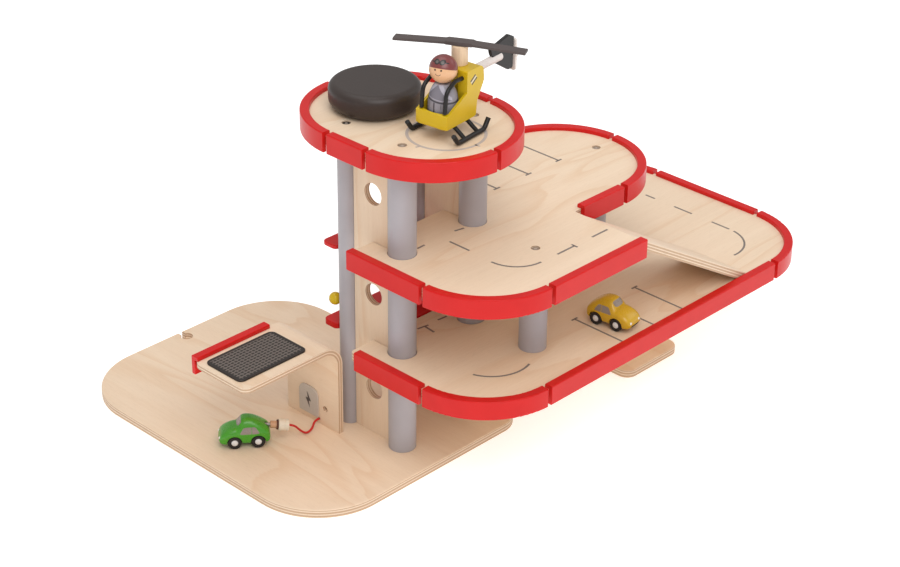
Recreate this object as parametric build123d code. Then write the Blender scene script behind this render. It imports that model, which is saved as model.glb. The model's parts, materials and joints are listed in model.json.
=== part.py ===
"""Toy parking garage with a hand-wound lift, a ramp, a charging bay, two cars and a helicopter.

The layout is written from the axis of the thick post at the front left of the tower: x runs to the
right along the long side, y to the back, z up from the ground.  Every piece is then moved so that
the part's origin is the middle of its footprint, at ground level.
"""
from build123d import *
from math import sin, cos, tan, pi, radians, degrees, hypot, atan2, acos, sqrt
import os

os.makedirs("parts", exist_ok=True)

# ------------------------------------------------------------------ driving dimensions (mm)
BOARD = 9.0                    # plywood thickness of base, decks and foot board
LOWER_Z = 109.0                # top of the lower deck
MIDDLE_Z = 209.0               # top of the middle deck
TOP_Z = 313.0                  # top of the top deck
SEAT = 0.3                     # gap where two neighbours nearly touch
FIT = 0.4                      # gap round a post or panel where it passes through a deck

# tower
POST_R = 12.75                 # thick dowels
ROD_R = 8.75                   # thin dowels, the lift runs on them
TOWER_W = 89.0                 # spacing of the thick posts, left to right
ROD_Y = 67.0                   # how far behind the posts the thin dowels stand
ROD_SHIFT = -2.0               # the left thin dowel stands a little further left
PANEL_T = 6.0                  # upright panels
WINDOW_R = 10.5
WINDOW_Y = 33.5
WINDOW_UP = 46.5               # centre of a window above the board it looks over

# fences
LIP = 4.4                      # reach of the fence over the board
LIP_H = 4.0                    # height of the fence above the board
SKIRT = 4.4                    # thickness outside the board's edge
SKIRT_DROP = 15.0              # how far the fence hangs below the board's top
FENCE_ROUND = 1.2
FENCE_GAP = 4.6                # gap between neighbouring fences
ARC_EASE = 0.05                # play of an arc fence round the board's edge

# decks (board edges)
DECK_L = -32.8
DECK_F = -135.2
DECK_R = 446.2
CORNER_R = 75.8                # board radius at the corners
SHAFT_Y = 33.4                 # back edge of the decks where the lift shaft begins
SHAFT_GAP = 12.0               # from the right post's axis to the decks beside the shaft
LOWER_BACK = 147.8
SHAFT_X = TOWER_W + SHAFT_GAP  # the decks go on behind this, right of the shaft
RAMP_X = 168.0                 # open end of the middle deck, where the ramp starts
NOTCH_Y = -53.1                # middle deck's edge beside the ramp
ROUND_X = 235.0                # centre of the middle deck's round end
ROUND_R = 77.6
TOP_CX = 43.6
TOP_FY = 8.6                   # centre of the top deck's front arc
TOP_BY = 57.2                  # centre of its back arc
TOP_R = 76.6

# ramp
RAMP_T = 8.0
RAMP_RUN = 171.0
RAMP_FRONT = -130.4
RAMP_BACK = -66.0

# base and foot
BASE_L, BASE_R_EDGE, BASE_F, BASE_B = -146.0, 121.5, -42.0, 304.5
BASE_CORNER = 70.0
BASE_SMALL = 28.0              # the front right corner
KEY_X = -12.4                  # hanging notch in the back edge
KEY_BACK = 11.0                # from the back edge to the middle of its round end
KEY_R = 6.0
KEY_SLOT = 5.0                 # width of the notch's neck
FOOT_L, FOOT_W = 174.0, 80.0
FOOT_X, FOOT_Y = 286.0, 23.0   # foot post and the middle of the foot board
FOOT_CORNER = 12.0
FRONT_POST_X, FRONT_POST_Y = 90.0, -75.5

# lift
CAB_T = 6.0                    # floor plate
CAB_ROOF_T = 4.0
CAB_H = 80.5                   # top of the floor to the top of the roof
CAB_SIDE = 1.3                 # gap between the cab's plates and the thin dowels
CAB_FRONT = 35.2
CAB_BACK = 95.5
CAB_BAR_OUT = 8.0              # how far the rear bar reaches past the post axes
CAB_CORNER = 5.0
CAB_POST_R = 4.0
CAB_BALL_R = 6.0
CAB_BALL_Z = 130.0
CAB_STEM_R, CAB_STEM_L = 2.0, 0.8
KNOB_X, KNOB_Y = 39.9, 74.5
KNOB_R = 41.4
KNOB_H = 23.2
KNOB_EDGE = 7.2                # rounding of the upper edge
KNOB_LOW = 9.0                 # rounding of the lower edge
KNOB_LIFT = 1.5                # gap between the knob and the top deck
SPINDLE_R = 5.0
SPINDLE_RUN = 0.05             # running clearance of the spindle
DRUM_R = 12.0
SPOOL_R = 15.5
SPOOL_H = 11.6
SPOOL_FLANGE = 1.4
SPOOL_DROP = 0.4               # gap between the spool and the deck above it
CORD_R = 0.8
BAR_R = 4.0
BAR_Y = 52.0
BAR_DROP = 8.2                 # axis of the cord bar below the top deck's underside

# charging bay
CAN_T = 5.6                    # bent plywood
CAN_X = -22.3                  # outer face of the wall
CAN_END = -138.6               # free end of the roof
CAN_Y0, CAN_Y1 = 55.0, 125.0
CAN_TOP = 104.5
CAN_BEND = 22.0                # outer radius of the bend
CAN_CORNER = 8.0
FASCIA_X0, FASCIA_X1 = -137.0, -51.0
PANEL_X0, PANEL_X1, PANEL_Y0, PANEL_Y1 = -134.0, -54.0, 66.0, 115.0
SOLAR_T = 1.6
SOLAR_CORNER = 6.0
SIGN_Y0, SIGN_Y1, SIGN_Z0, SIGN_Z1 = 82.0, 107.7, 15.0, 45.0
SIGN_T = 1.5
SIGN_ROUND = 9.0
EYE_Y, EYE_Z, EYE_R = 73.4, 27.7, 3.0
EXIT_Y, EXIT_Z = 81.8, 13.9    # where the charging cord leaves the wall

# helicopter (its own axes: s to the tail, n to its right hand side, z up from the deck)
HELI_X, HELI_Y, HELI_TURN = 46.45, -7.9, 7.3
HELI_HALF = 16.8
HELI_BOTTOM = 13.5
HELI_WALL = 2.4
HELI_NOSE, HELI_NOSE_TOP = -25.2, 25.5
HELI_BOW = 48.5                # radius of the nose in plan
HELI_COL, HELI_COL_TOP = 5.6, 58.0
SEAT_S, SEAT_R = -6.0, 13.6    # cockpit bore for the pilot
MAST_S, MAST_R, MAST_TOP = 17.0, 7.2, 75.5
ROTOR_L, ROTOR_W, ROTOR_T = 117.0, 10.6, 2.4
ROTOR_TURN = -61.4
ROTOR_DROOP = 2.2
BOOM_R, BOOM_Z, BOOM_END = 3.8, 45.4, 77.5
FIN_T = 3.6
FIN_FRONT, FIN_BACK, FIN_LOW, FIN_TOP = 60.3, 95.0, 29.2, 62.2
FIN_SLOT = 62.8                # where the boom's slot starts
TAIL_L, TAIL_W, TAIL_T = 30.0, 6.0, 2.6
SKID_N, SKID_R = 24.8, 2.2
SKID_FRONT, SKID_REAR, SKID_UP, SKID_OUT = -17.6, 20.2, 8.5, 6.2
BARS_N, BARS_R = 12.4, 1.9
PILOT_R, PILOT_NECK_Z, PILOT_HEAD_R = 13.2, 48.4, 12.4
PILOT_HEAD_Z = 60.9

# cars
WHEEL_R = 6.25
WHEEL_W = 4.4
AXLE_R = 1.5
AXLE_RUN = 0.06
CAR_BASE = 21.6                # wheelbase
CAR_TRACK = 22.6               # outer faces of the wheels
CAR_W = 23.0
PLUG_R = 5.6


# ------------------------------------------------------------------ small helpers
def box(x0, x1, y0, y1, z0, z1):
    """A box between two corners."""
    return Pos((x0 + x1) / 2, (y0 + y1) / 2, (z0 + z1) / 2) * Box(x1 - x0, y1 - y0, z1 - z0)


def rod(x, y, z0, z1, r):
    """An upright dowel."""
    return Pos(x, y, (z0 + z1) / 2) * Cylinder(r, z1 - z0)


def edge_softened(part, r, axis=Axis.Z):
    """The part with its edges at both ends along an axis broken by a small chamfer."""
    groups = part.edges().group_by(axis)
    return chamfer(groups[0] + groups[-1], r)


def outline(points, radii):
    """A closed wire through corner points, each corner rounded by its own radius (0 keeps it sharp)."""
    n = len(points)
    pts = [Vector(*p, 0) for p in points]
    cut_in, cut_out, arcs = [], [], []
    for i, p in enumerate(pts):
        a = (pts[i - 1] - p).normalized()
        b = (pts[(i + 1) % n] - p).normalized()
        half = acos(max(-1.0, min(1.0, a.dot(b)))) / 2
        d = radii[i] / tan(half) if radii[i] else 0.0
        cut_in.append(p + a * d)
        cut_out.append(p + b * d)
        m = (a + b).normalized()
        arcs.append(p + m * (radii[i] / sin(half) - radii[i]) if radii[i] else None)
    edges = []
    for i in range(n):
        if radii[i]:
            edges.append(ThreePointArc(cut_in[i], arcs[i], cut_out[i]))
        nxt = cut_in[(i + 1) % n]
        if (nxt - cut_out[i]).length > 1e-6:
            edges.append(Line(cut_out[i], nxt))
    return make_face(Wire(edges).edges())


def plate(face, z0, t):
    """A face in the ground plane made into a plate from z0 up."""
    return Pos(0, 0, z0) * extrude(face, amount=t, dir=(0, 0, 1))


def fence_section(top):
    """Section of a fence in the (out, z) plane, out = 0 at the board's edge."""
    z1 = top + LIP_H
    z0 = top - SKIRT_DROP
    r = FENCE_ROUND
    c = r * (1 - sqrt(0.5))
    lines = [
        Line((-LIP, top), (-LIP, z1 - r)),
        ThreePointArc((-LIP, z1 - r), (-LIP + c, z1 - c), (-LIP + r, z1)),
        Line((-LIP + r, z1), (SKIRT - r, z1)),
        ThreePointArc((SKIRT - r, z1), (SKIRT - c, z1 - c), (SKIRT, z1 - r)),
        Line((SKIRT, z1 - r), (SKIRT, z0 + r)),
        ThreePointArc((SKIRT, z0 + r), (SKIRT - c, z0 + c), (SKIRT - r, z0)),
        Line((SKIRT - r, z0), (0, z0)),
        Line((0, z0), (0, top)),
        Line((0, top), (-LIP, top)),
    ]
    return make_face(Wire(lines).edges())


def straight_fence(top, start, end):
    """A fence along a straight board edge, the board on the left hand of start to end."""
    a, b = Vector(*start, 0), Vector(*end, 0)
    along = (b - a).normalized()
    out = Vector(along.Y, -along.X, 0)
    plane = Plane(origin=a, x_dir=out, z_dir=out.cross(Vector(0, 0, 1)))
    face = plane.from_local_coords(fence_section(top))
    body = extrude(face, amount=(b - a).length, dir=along)
    return body


def arc_fence(top, cx, cy, r, a0, a1):
    """A fence along a round board edge of radius r, from a0 to a1 degrees, with a gap left at each end."""
    cut = degrees(FENCE_GAP / 2 / r)
    a0, a1 = a0 + cut, a1 - cut
    face = Plane.XZ.from_local_coords(Pos(r + ARC_EASE, 0, 0) * fence_section(top))
    body = revolve(face, Axis.Z, a1 - a0)
    turn = a0 if body.bounding_box().max.Y > 1e-3 else a1
    return Pos(cx, cy, 0) * Rot(0, 0, turn) * body


# ------------------------------------------------------------------ boards
def base_board():
    """Base board with three wide corners, one tighter corner and a keyhole notch in the back edge."""
    face = outline([(BASE_L, BASE_F), (BASE_R_EDGE, BASE_F), (BASE_R_EDGE, BASE_B), (BASE_L, BASE_B)],
                   [BASE_CORNER, BASE_SMALL, BASE_CORNER, BASE_CORNER])
    body = edge_softened(plate(face, 0, BOARD), 0.8)
    body -= rod(KEY_X, BASE_B - KEY_BACK, -1, BOARD + 1, KEY_R)
    body -= box(KEY_X - KEY_SLOT / 2, KEY_X + KEY_SLOT / 2, BASE_B - KEY_BACK, BASE_B + 5, -1, BOARD + 1)
    return body


def foot_board():
    """Small board on the ground under the far end of the lower deck."""
    x0, x1 = FOOT_X - FOOT_W / 2, FOOT_X + FOOT_W / 2
    y0, y1 = FOOT_Y - FOOT_L / 2, FOOT_Y + FOOT_L / 2
    face = outline([(x0, y0), (x1, y0), (x1, y1), (x0, y1)], [FOOT_CORNER] * 4)
    return edge_softened(plate(face, 0, BOARD), 0.8)


def tower_cuts(body, z0, z1):
    """Clearance for the two tower posts and the two panels through a deck between z0 and z1."""
    for x in (0, TOWER_W):
        body -= rod(x, 0, z0 - 1, z1 + 1, POST_R + FIT)
        y0 = panel_y()[0] - FIT
        body -= box(x - PANEL_T / 2 - FIT, x + PANEL_T / 2 + FIT, y0, SHAFT_Y + 1, z0 - 1, z1 + 1)
    return body


def lower_deck():
    """Lower car deck: long board with round corners, stepped back beside the lift shaft."""
    face = outline([(DECK_L, DECK_F), (DECK_R, DECK_F), (DECK_R, LOWER_BACK), (SHAFT_X, LOWER_BACK),
                    (SHAFT_X, SHAFT_Y), (DECK_L, SHAFT_Y)], [CORNER_R, CORNER_R, CORNER_R, 6, 3, 4])
    body = plate(face, LOWER_Z - BOARD, BOARD)
    return tower_cuts(body, LOWER_Z - BOARD, LOWER_Z)


def middle_deck():
    """Middle car deck: round end to the right, an open end where the ramp starts."""
    y_back = NOTCH_Y + 2 * ROUND_R
    face = outline([(DECK_L, DECK_F), (RAMP_X, DECK_F), (RAMP_X, NOTCH_Y), (ROUND_X + ROUND_R, NOTCH_Y),
                    (ROUND_X + ROUND_R, y_back), (SHAFT_X, y_back), (SHAFT_X, SHAFT_Y), (DECK_L, SHAFT_Y)],
                   [CORNER_R, 1, 2, ROUND_R - 0.001, ROUND_R - 0.001, 6, 3, 4])
    body = plate(face, MIDDLE_Z - BOARD, BOARD)
    body = tower_cuts(body, MIDDLE_Z - BOARD, MIDDLE_Z)
    for x, y in ((FRONT_POST_X, FRONT_POST_Y), (FOOT_X, FOOT_Y)):
        body -= screw_recess(x, y, MIDDLE_Z)
    return body


def top_deck():
    """Top deck with round ends, bored for the winding spindle."""
    x0, x1 = TOP_CX - TOP_R, TOP_CX + TOP_R
    face = outline([(x0, TOP_FY - TOP_R), (x1, TOP_FY - TOP_R), (x1, TOP_BY + TOP_R), (x0, TOP_BY + TOP_R)],
                   [TOP_R - 0.001] * 4)
    body = plate(face, TOP_Z - BOARD, BOARD)
    body -= rod(KNOB_X, KNOB_Y, TOP_Z - BOARD - 1, TOP_Z + 1, SPINDLE_R + SPINDLE_RUN)
    for x, y in top_screws():
        body -= screw_recess(x, y, TOP_Z)
    return body


def ramp_board():
    """Sloping board from the middle deck down to the lower deck, its foot cut level."""
    x0, x1 = RAMP_X, RAMP_X + RAMP_RUN
    slope = (MIDDLE_Z - LOWER_Z) / RAMP_RUN
    drop = RAMP_T * sqrt(1 + slope ** 2)
    toe = 0.8
    pts = [(x0, MIDDLE_Z), (x0, MIDDLE_Z - drop), (x1 - drop / slope, LOWER_Z), (x1 - toe / slope, LOWER_Z),
           (x1 - toe / slope, LOWER_Z + toe)]
    face = make_face(Polyline(*[(p[0], p[1]) for p in pts], close=True).edges())
    body = extrude(Plane.XZ.from_local_coords(face), amount=RAMP_BACK - RAMP_FRONT, dir=(0, 1, 0))
    return Pos(0, RAMP_FRONT, 0) * body


# ------------------------------------------------------------------ tower
def panel_y():
    """Front and back edges of the tower panels, between the post and the thin dowel."""
    return POST_R + SEAT, ROD_Y - ROD_R - SEAT


def tower_panel(x):
    """Upright panel with a round window over each board."""
    y0, y1 = panel_y()
    body = box(x - PANEL_T / 2, x + PANEL_T / 2, y0, y1, BOARD, TOP_Z - BOARD)
    for base in (BOARD + 1.5, LOWER_Z, MIDDLE_Z):
        hole = Pos(x, WINDOW_Y, base + WINDOW_UP) * Rot(0, 90, 0) * Cylinder(WINDOW_R, PANEL_T + 2)
        body -= hole
    return body


def tower_posts():
    """The two thick dowels at the front of the tower."""
    return Compound([rod(x, 0, BOARD, TOP_Z - BOARD, POST_R) for x in (0, TOWER_W)])


def guide_rods():
    """The two thin dowels at the back of the tower, which guide the lift."""
    return Compound([rod(x, ROD_Y, BOARD, TOP_Z - BOARD, ROD_R) for x in (ROD_SHIFT, TOWER_W)])


def deck_posts():
    """The two thick dowels that carry the middle deck on the lower deck."""
    places = ((FRONT_POST_X, FRONT_POST_Y), (FOOT_X, FOOT_Y))
    return Compound([rod(x, y, LOWER_Z, MIDDLE_Z - BOARD, POST_R) for x, y in places])


def foot_post():
    """Thick dowel on the foot board under the far end of the lower deck."""
    return rod(FOOT_X, FOOT_Y, BOARD, LOWER_Z - BOARD, POST_R)


SCREW_HEAD_R = 3.4
SCREW_RECESS_R = 4.2
SCREW_DEEP = 2.2


def top_screws():
    """Places of the screws on the top deck."""
    return ((0, 0), (TOWER_W, 0), (ROD_SHIFT, ROD_Y))


def screw_recess(x, y, top):
    """Round recess for one screw head."""
    return rod(x, y, top - SCREW_DEEP, top + 1, SCREW_RECESS_R)


def screw_head(x, y, top):
    """Pan head with a cross recess, sunk just under the board's top."""
    head = rod(x, y, top - SCREW_DEEP, top - 0.6, SCREW_HEAD_R)
    head = chamfer(head.edges().group_by(Axis.Z)[-1], 0.5)
    z0, z1 = top - 1.4, top
    head -= box(x - 2.0, x + 2.0, y - 0.4, y + 0.4, z0, z1)
    head -= box(x - 0.4, x + 0.4, y - 2.0, y + 2.0, z0, z1)
    return head


def deck_screws():
    """All the screw heads on the two upper decks."""
    heads = [screw_head(x, y, TOP_Z) for x, y in top_screws()]
    heads += [screw_head(x, y, MIDDLE_Z) for x, y in ((FRONT_POST_X, FRONT_POST_Y), (FOOT_X, FOOT_Y))]
    return Compound(heads)


# ------------------------------------------------------------------ fences
def lower_fences():
    """Fences of the lower deck, by node name."""
    cxl, cy = DECK_L + CORNER_R, DECK_F + CORNER_R
    cxr, cyb = DECK_R - CORNER_R, LOWER_BACK - CORNER_R
    g = FENCE_GAP / 2
    arcs = [arc_fence(LOWER_Z, cxl, cy, CORNER_R, 180, 270), arc_fence(LOWER_Z, cxr, cy, CORNER_R, 270, 360),
            arc_fence(LOWER_Z, cxr, cyb, CORNER_R, 0, 90)]
    return {
        "lower_left_fence": straight_fence(LOWER_Z, (DECK_L, SHAFT_Y - 9), (DECK_L, cy + g)),
        "lower_front_fence": straight_fence(LOWER_Z, (cxl + g, DECK_F), (cxr - g, DECK_F)),
        "lower_right_fence": straight_fence(LOWER_Z, (DECK_R, cy + g), (DECK_R, cyb - g)),
        "lower_back_fence": straight_fence(LOWER_Z, (cxr - g, LOWER_BACK), (SHAFT_X + 8, LOWER_BACK)),
        "lower_corner_fences": Compound(arcs),
    }


def middle_fences():
    """Fences of the middle deck, by node name."""
    cxl, cy = DECK_L + CORNER_R, DECK_F + CORNER_R
    cyr = NOTCH_Y + ROUND_R
    g = FENCE_GAP / 2
    arcs = [arc_fence(MIDDLE_Z, cxl, cy, CORNER_R, 180, 270), arc_fence(MIDDLE_Z, ROUND_X, cyr, ROUND_R, 270, 360),
            arc_fence(MIDDLE_Z, ROUND_X, cyr, ROUND_R, 0, 90)]
    return {
        "middle_left_fence": straight_fence(MIDDLE_Z, (DECK_L, SHAFT_Y - 1), (DECK_L, cy + g)),
        "middle_front_fence": straight_fence(MIDDLE_Z, (cxl + g, DECK_F), (RAMP_X - 1, DECK_F)),
        "middle_notch_fence": straight_fence(MIDDLE_Z, (RAMP_X + 8, NOTCH_Y), (ROUND_X - g, NOTCH_Y)),
        "middle_back_fence": straight_fence(MIDDLE_Z, (ROUND_X - g, cyr + ROUND_R), (SHAFT_X + 8, cyr + ROUND_R)),
        "middle_corner_fences": Compound(arcs),
    }


def top_fences():
    """Fences of the top deck, by node name."""
    g = FENCE_GAP / 2
    arcs = [arc_fence(TOP_Z, TOP_CX, y, TOP_R, a, a + 90) for y, a in
            ((TOP_FY, 180), (TOP_FY, 270), (TOP_BY, 0), (TOP_BY, 90))]
    sides = [straight_fence(TOP_Z, (TOP_CX - TOP_R, TOP_BY - g), (TOP_CX - TOP_R, TOP_FY + g)),
             straight_fence(TOP_Z, (TOP_CX + TOP_R, TOP_FY + g), (TOP_CX + TOP_R, TOP_BY - g))]
    return {"top_side_fences": Compound(sides), "top_corner_fences": Compound(arcs)}


# ------------------------------------------------------------------ charging bay
def canopy():
    """Bent plywood canopy: an upright wall, a wide bend and a level roof with a free end."""
    z0, zi = BOARD, CAN_TOP - CAN_T
    xo, xi = CAN_X, CAN_X - CAN_T
    ri = CAN_BEND - CAN_T
    k = sqrt(0.5)
    co = (xo - CAN_BEND, CAN_TOP - CAN_BEND)
    lines = [
        Line((xo, z0), (xo, co[1])),
        ThreePointArc((xo, co[1]), (co[0] + CAN_BEND * k, co[1] + CAN_BEND * k), (co[0], CAN_TOP)),
        Line((co[0], CAN_TOP), (CAN_END, CAN_TOP)),
        Line((CAN_END, CAN_TOP), (CAN_END, zi)),
        Line((CAN_END, zi), (co[0], zi)),
        ThreePointArc((co[0], zi), (co[0] + ri * k, co[1] + ri * k), (xi, co[1])),
        Line((xi, co[1]), (xi, z0)),
        Line((xi, z0), (xo, z0)),
    ]
    face = Plane.XZ.from_local_coords(make_face(Wire(lines).edges()))
    body = Pos(0, CAN_Y0, 0) * extrude(face, amount=CAN_Y1 - CAN_Y0, dir=(0, 1, 0))
    ends = body.edges().filter_by(Axis.Z).filter_by(lambda e: e.center().X < CAN_END + 1)
    body = fillet(ends, CAN_CORNER)
    body -= Pos(xi, EYE_Y, EYE_Z) * Rot(0, 90, 0) * Cylinder(EYE_R, 7.0)
    body -= Pos(xi, EXIT_Y, EXIT_Z) * Rot(0, 90, 0) * Cylinder(CORD + 0.35, 2 * CORD_DEEP)
    return body


CORD = 1.05                    # radius of the charging cord
CORD_DEEP = 2.5


def canopy_fascia():
    """Red rail along the far edge of the canopy's roof, with the fences' section."""
    rail = straight_fence(CAN_TOP, (FASCIA_X1, CAN_Y1), (FASCIA_X0, CAN_Y1))
    return rail


def solar_panel():
    """Thin dark panel with round corners, lying on the canopy's roof."""
    face = outline([(PANEL_X0, PANEL_Y0), (PANEL_X1, PANEL_Y0), (PANEL_X1, PANEL_Y1), (PANEL_X0, PANEL_Y1)],
                   [SOLAR_CORNER] * 4)
    return edge_softened(plate(face, CAN_TOP, SOLAR_T), 0.3)


def charger_sign():
    """Round-topped plate on the inner face of the canopy's wall."""
    face = outline([(SIGN_Y0, SIGN_Z0), (SIGN_Y1, SIGN_Z0), (SIGN_Y1, SIGN_Z1), (SIGN_Y0, SIGN_Z1)],
                   [1.5, 1.5, SIGN_ROUND, SIGN_ROUND])
    plane = Plane(origin=(CAN_X - CAN_T, 0, 0), x_dir=(0, 1, 0), z_dir=(1, 0, 0))
    return extrude(plane.from_local_coords(face), amount=SIGN_T, dir=(-1, 0, 0))


# charging plug: its jack stands in the socket in the green car's tail, and it droops a little to its cord
PLUG_AT = (-80.45, 91.11, 27.0)          # front of the sleeve, just behind the tail
PLUG_DIR = (0.7824, -0.6113, -0.1191)    # from the car to the cord
PLUG_L = 9.7                   # cream body
RING_L = 1.6
SLEEVE_L = 6.0
JACK_L = 7.4
SLEEVE_R = 3.4
JACK_R = 1.5
JACK_BORE = 2.4                # socket in the car
SOCKET_Z = 18.3                # height of the socket above the car's floor
SOCKET_DEEP = 8.8              # from the tail's rearmost point

CORD_PATH = [(-66.91, 80.53, 24.94), (-63.0, 77.48, 24.35), (-56.3, 77.1, 15.6), (-50.2, 75.4, 10.3),
             (-42.2, 76.1, 11.6), (-33.4, 82.6, 13.9), (-28.0, 81.8, 13.9)]


def plug_piece(s0, s1, r):
    """A round piece on the plug's axis, between two distances from the sleeve's front towards the cord."""
    d = Vector(*PLUG_DIR).normalized()
    a = Vector(*PLUG_AT) + d * s0
    plane = Plane(origin=a, z_dir=d)
    return extrude(plane.from_local_coords(make_face(Circle(r).edges())), amount=s1 - s0, dir=d)


def charger_plug():
    """Cream plug body with softened ends."""
    s = SLEEVE_L + RING_L
    body = plug_piece(s, s + PLUG_L, PLUG_R)
    return chamfer(body.edges().filter_by(GeomType.CIRCLE), 0.8)


def charger_tip():
    """Dark ring, brown sleeve and thin jack in front of the plug's body."""
    body = plug_piece(SLEEVE_L, SLEEVE_L + RING_L, PLUG_R - 0.9) + plug_piece(0, SLEEVE_L, SLEEVE_R)
    return body + plug_piece(-JACK_L, 0, JACK_R)


def cord_radii(points):
    """The largest arc radius each corner of a route can take."""
    out = []
    for a, b, c in zip(points, points[1:], points[2:]):
        u, v = Vector(*b) - Vector(*a), Vector(*c) - Vector(*b)
        turn = radians(u.get_angle(v))
        out.append(0.45 * min(u.length, v.length) / tan(turn / 2))
    return out


def tube(points, r, radii=None):
    """A round tube along straight runs joined by tangent arcs."""
    radii = radii or cord_radii(points)
    path = FilletPolyline(*points, radius=radii)
    start = Vector(*points[0])
    d = (Vector(*points[1]) - start).normalized()
    ring = Plane(origin=start, z_dir=d).from_local_coords(make_face(Circle(r).edges()))
    body = sweep(ring, path)
    length = path.length
    print("tube: radii", [round(x, 1) for x in radii], "volume ratio", round(body.volume / (pi * r * r * length), 4))
    return body


# ------------------------------------------------------------------ lift
def cab_face(front, back):
    """T-shaped outline of a lift plate: between the thin dowels in front, a wide bar behind them."""
    x0 = ROD_SHIFT + ROD_R + CAB_SIDE
    x1 = TOWER_W - ROD_R - CAB_SIDE
    bar = ROD_Y + ROD_R + CAB_SIDE
    pts = [(x0, front), (x1, front), (x1, bar), (TOWER_W + CAB_BAR_OUT, bar), (TOWER_W + CAB_BAR_OUT, back),
           (-CAB_BAR_OUT, back), (-CAB_BAR_OUT, bar), (x0, bar)]
    c = CAB_CORNER
    return outline(pts, [c, c, 0, c, c, c, c, 0])


def cab_plate(z0, t):
    """One lift plate."""
    return edge_softened(plate(cab_face(CAB_FRONT, CAB_BACK), z0, t), 0.5)


def cab_post_places():
    """Places of the lift's two uprights, in the rear bar."""
    y = (ROD_Y + ROD_R + CAB_SIDE + CAB_BACK) / 2
    return [(PANEL_T + CAB_POST_R, y), (TOWER_W - PANEL_T - CAB_POST_R, y)]


def cab_posts():
    """Pale dowels between the lift's floor and roof."""
    z0, z1 = LOWER_Z, LOWER_Z + CAB_H - CAB_ROOF_T
    return Compound([rod(x, y, z0, z1, CAB_POST_R) for x, y in cab_post_places()])


def cab_knob():
    """Yellow ball on a short stem beside the left upright."""
    x, y = cab_post_places()[0]
    r, stem, reach = CAB_BALL_R, CAB_STEM_R, CAB_POST_R + CAB_STEM_L + CAB_BALL_R
    join = sqrt(r * r - stem * stem)
    end = reach - CAB_POST_R - 0.02
    lines = [Line((-r, 0), (end, 0)), Line((end, 0), (end, stem)), Line((end, stem), (join, stem)),
             ThreePointArc((join, stem), (0, r), (-r, 0))]
    face = make_face(Wire(lines).edges())
    return Pos(x - reach, y, CAB_BALL_Z) * revolve(face, Axis.X, 360)


def winding_knob():
    """Large round knob with a generous top edge."""
    z0 = TOP_Z + KNOB_LIFT
    body = rod(KNOB_X, KNOB_Y, z0, z0 + KNOB_H, KNOB_R)
    body = fillet(body.edges().group_by(Axis.Z)[-1], KNOB_EDGE)
    return fillet(body.edges().group_by(Axis.Z)[0], KNOB_LOW)


def spool_top():
    """Top face of the hoist spool."""
    return TOP_Z - BOARD - SPOOL_DROP


def knob_spindle():
    """Spindle through the top deck, from the spool up to the knob."""
    return rod(KNOB_X, KNOB_Y, spool_top(), TOP_Z + KNOB_LIFT, SPINDLE_R)


def hoist_spool():
    """Spool under the top deck: a drum between two flanges."""
    z1 = spool_top()
    z0 = z1 - SPOOL_H
    body = rod(KNOB_X, KNOB_Y, z0, z1, DRUM_R)
    body += rod(KNOB_X, KNOB_Y, z0, z0 + SPOOL_FLANGE, SPOOL_R)
    return body + rod(KNOB_X, KNOB_Y, z1 - SPOOL_FLANGE, z1, SPOOL_R)


def hoist_winding():
    """The hoist cord's turns on the drum, as one plain ring."""
    z1 = spool_top() - SPOOL_FLANGE - 0.1
    z0 = z1 - 4 * 2 * CORD_R
    ring = rod(KNOB_X, KNOB_Y, z0, z1, DRUM_R + 2 * CORD_R)
    return ring - rod(KNOB_X, KNOB_Y, z0 - 1, z1 + 1, DRUM_R)


def hoist_places():
    """Tangent x, level of the run, and the y where the cord hangs."""
    x = KNOB_X + DRUM_R + CORD_R
    z = TOP_Z - BOARD - BAR_DROP + BAR_R + CORD_R
    y = BAR_Y - BAR_R - CORD_R
    return x, z, y


def cord_bar():
    """Dowel between the panels that turns the hoist cord downwards."""
    z = TOP_Z - BOARD - BAR_DROP
    x0, x1 = PANEL_T / 2, TOWER_W - PANEL_T / 2
    return Pos((x0 + x1) / 2, BAR_Y, z) * Rot(0, 90, 0) * Cylinder(BAR_R, x1 - x0)


WIND_OFF = 7.2                 # where the run starts, clear of the turns on the drum
JOIN_DROP = 0.8                # where the hanging cord starts, below the bar


def hoist_join():
    """Height where the cord's run over the bar ends and its hanging part starts."""
    return TOP_Z - BOARD - BAR_DROP - BAR_R - JOIN_DROP


def hoist_run():
    """Hoist cord from the drum over the bar."""
    x, z, y = hoist_places()
    pts = [(x, KNOB_Y - WIND_OFF, z), (x, y, z), (x, y, hoist_join())]
    return tube(pts, CORD_R, [BAR_R + CORD_R + 0.02])


def hoist_cord():
    """Hanging hoist cord, down to the lift's roof."""
    x, z, y = hoist_places()
    return rod(x, y, LOWER_Z + CAB_H, hoist_join(), CORD_R)


# ------------------------------------------------------------------ helicopter
def heli(part):
    """A piece drawn on the helicopter's own axes, put in its place on the top deck."""
    return Pos(HELI_X, HELI_Y, TOP_Z) * Rot(0, 0, HELI_TURN) * part


def side_profile(points, radii, half):
    """A plate in the helicopter's side view, of half width half each side of the middle."""
    face = Plane.XZ.from_local_coords(outline(points, radii))
    return Pos(0, -half, 0) * extrude(face, amount=2 * half, dir=(0, 1, 0))


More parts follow.
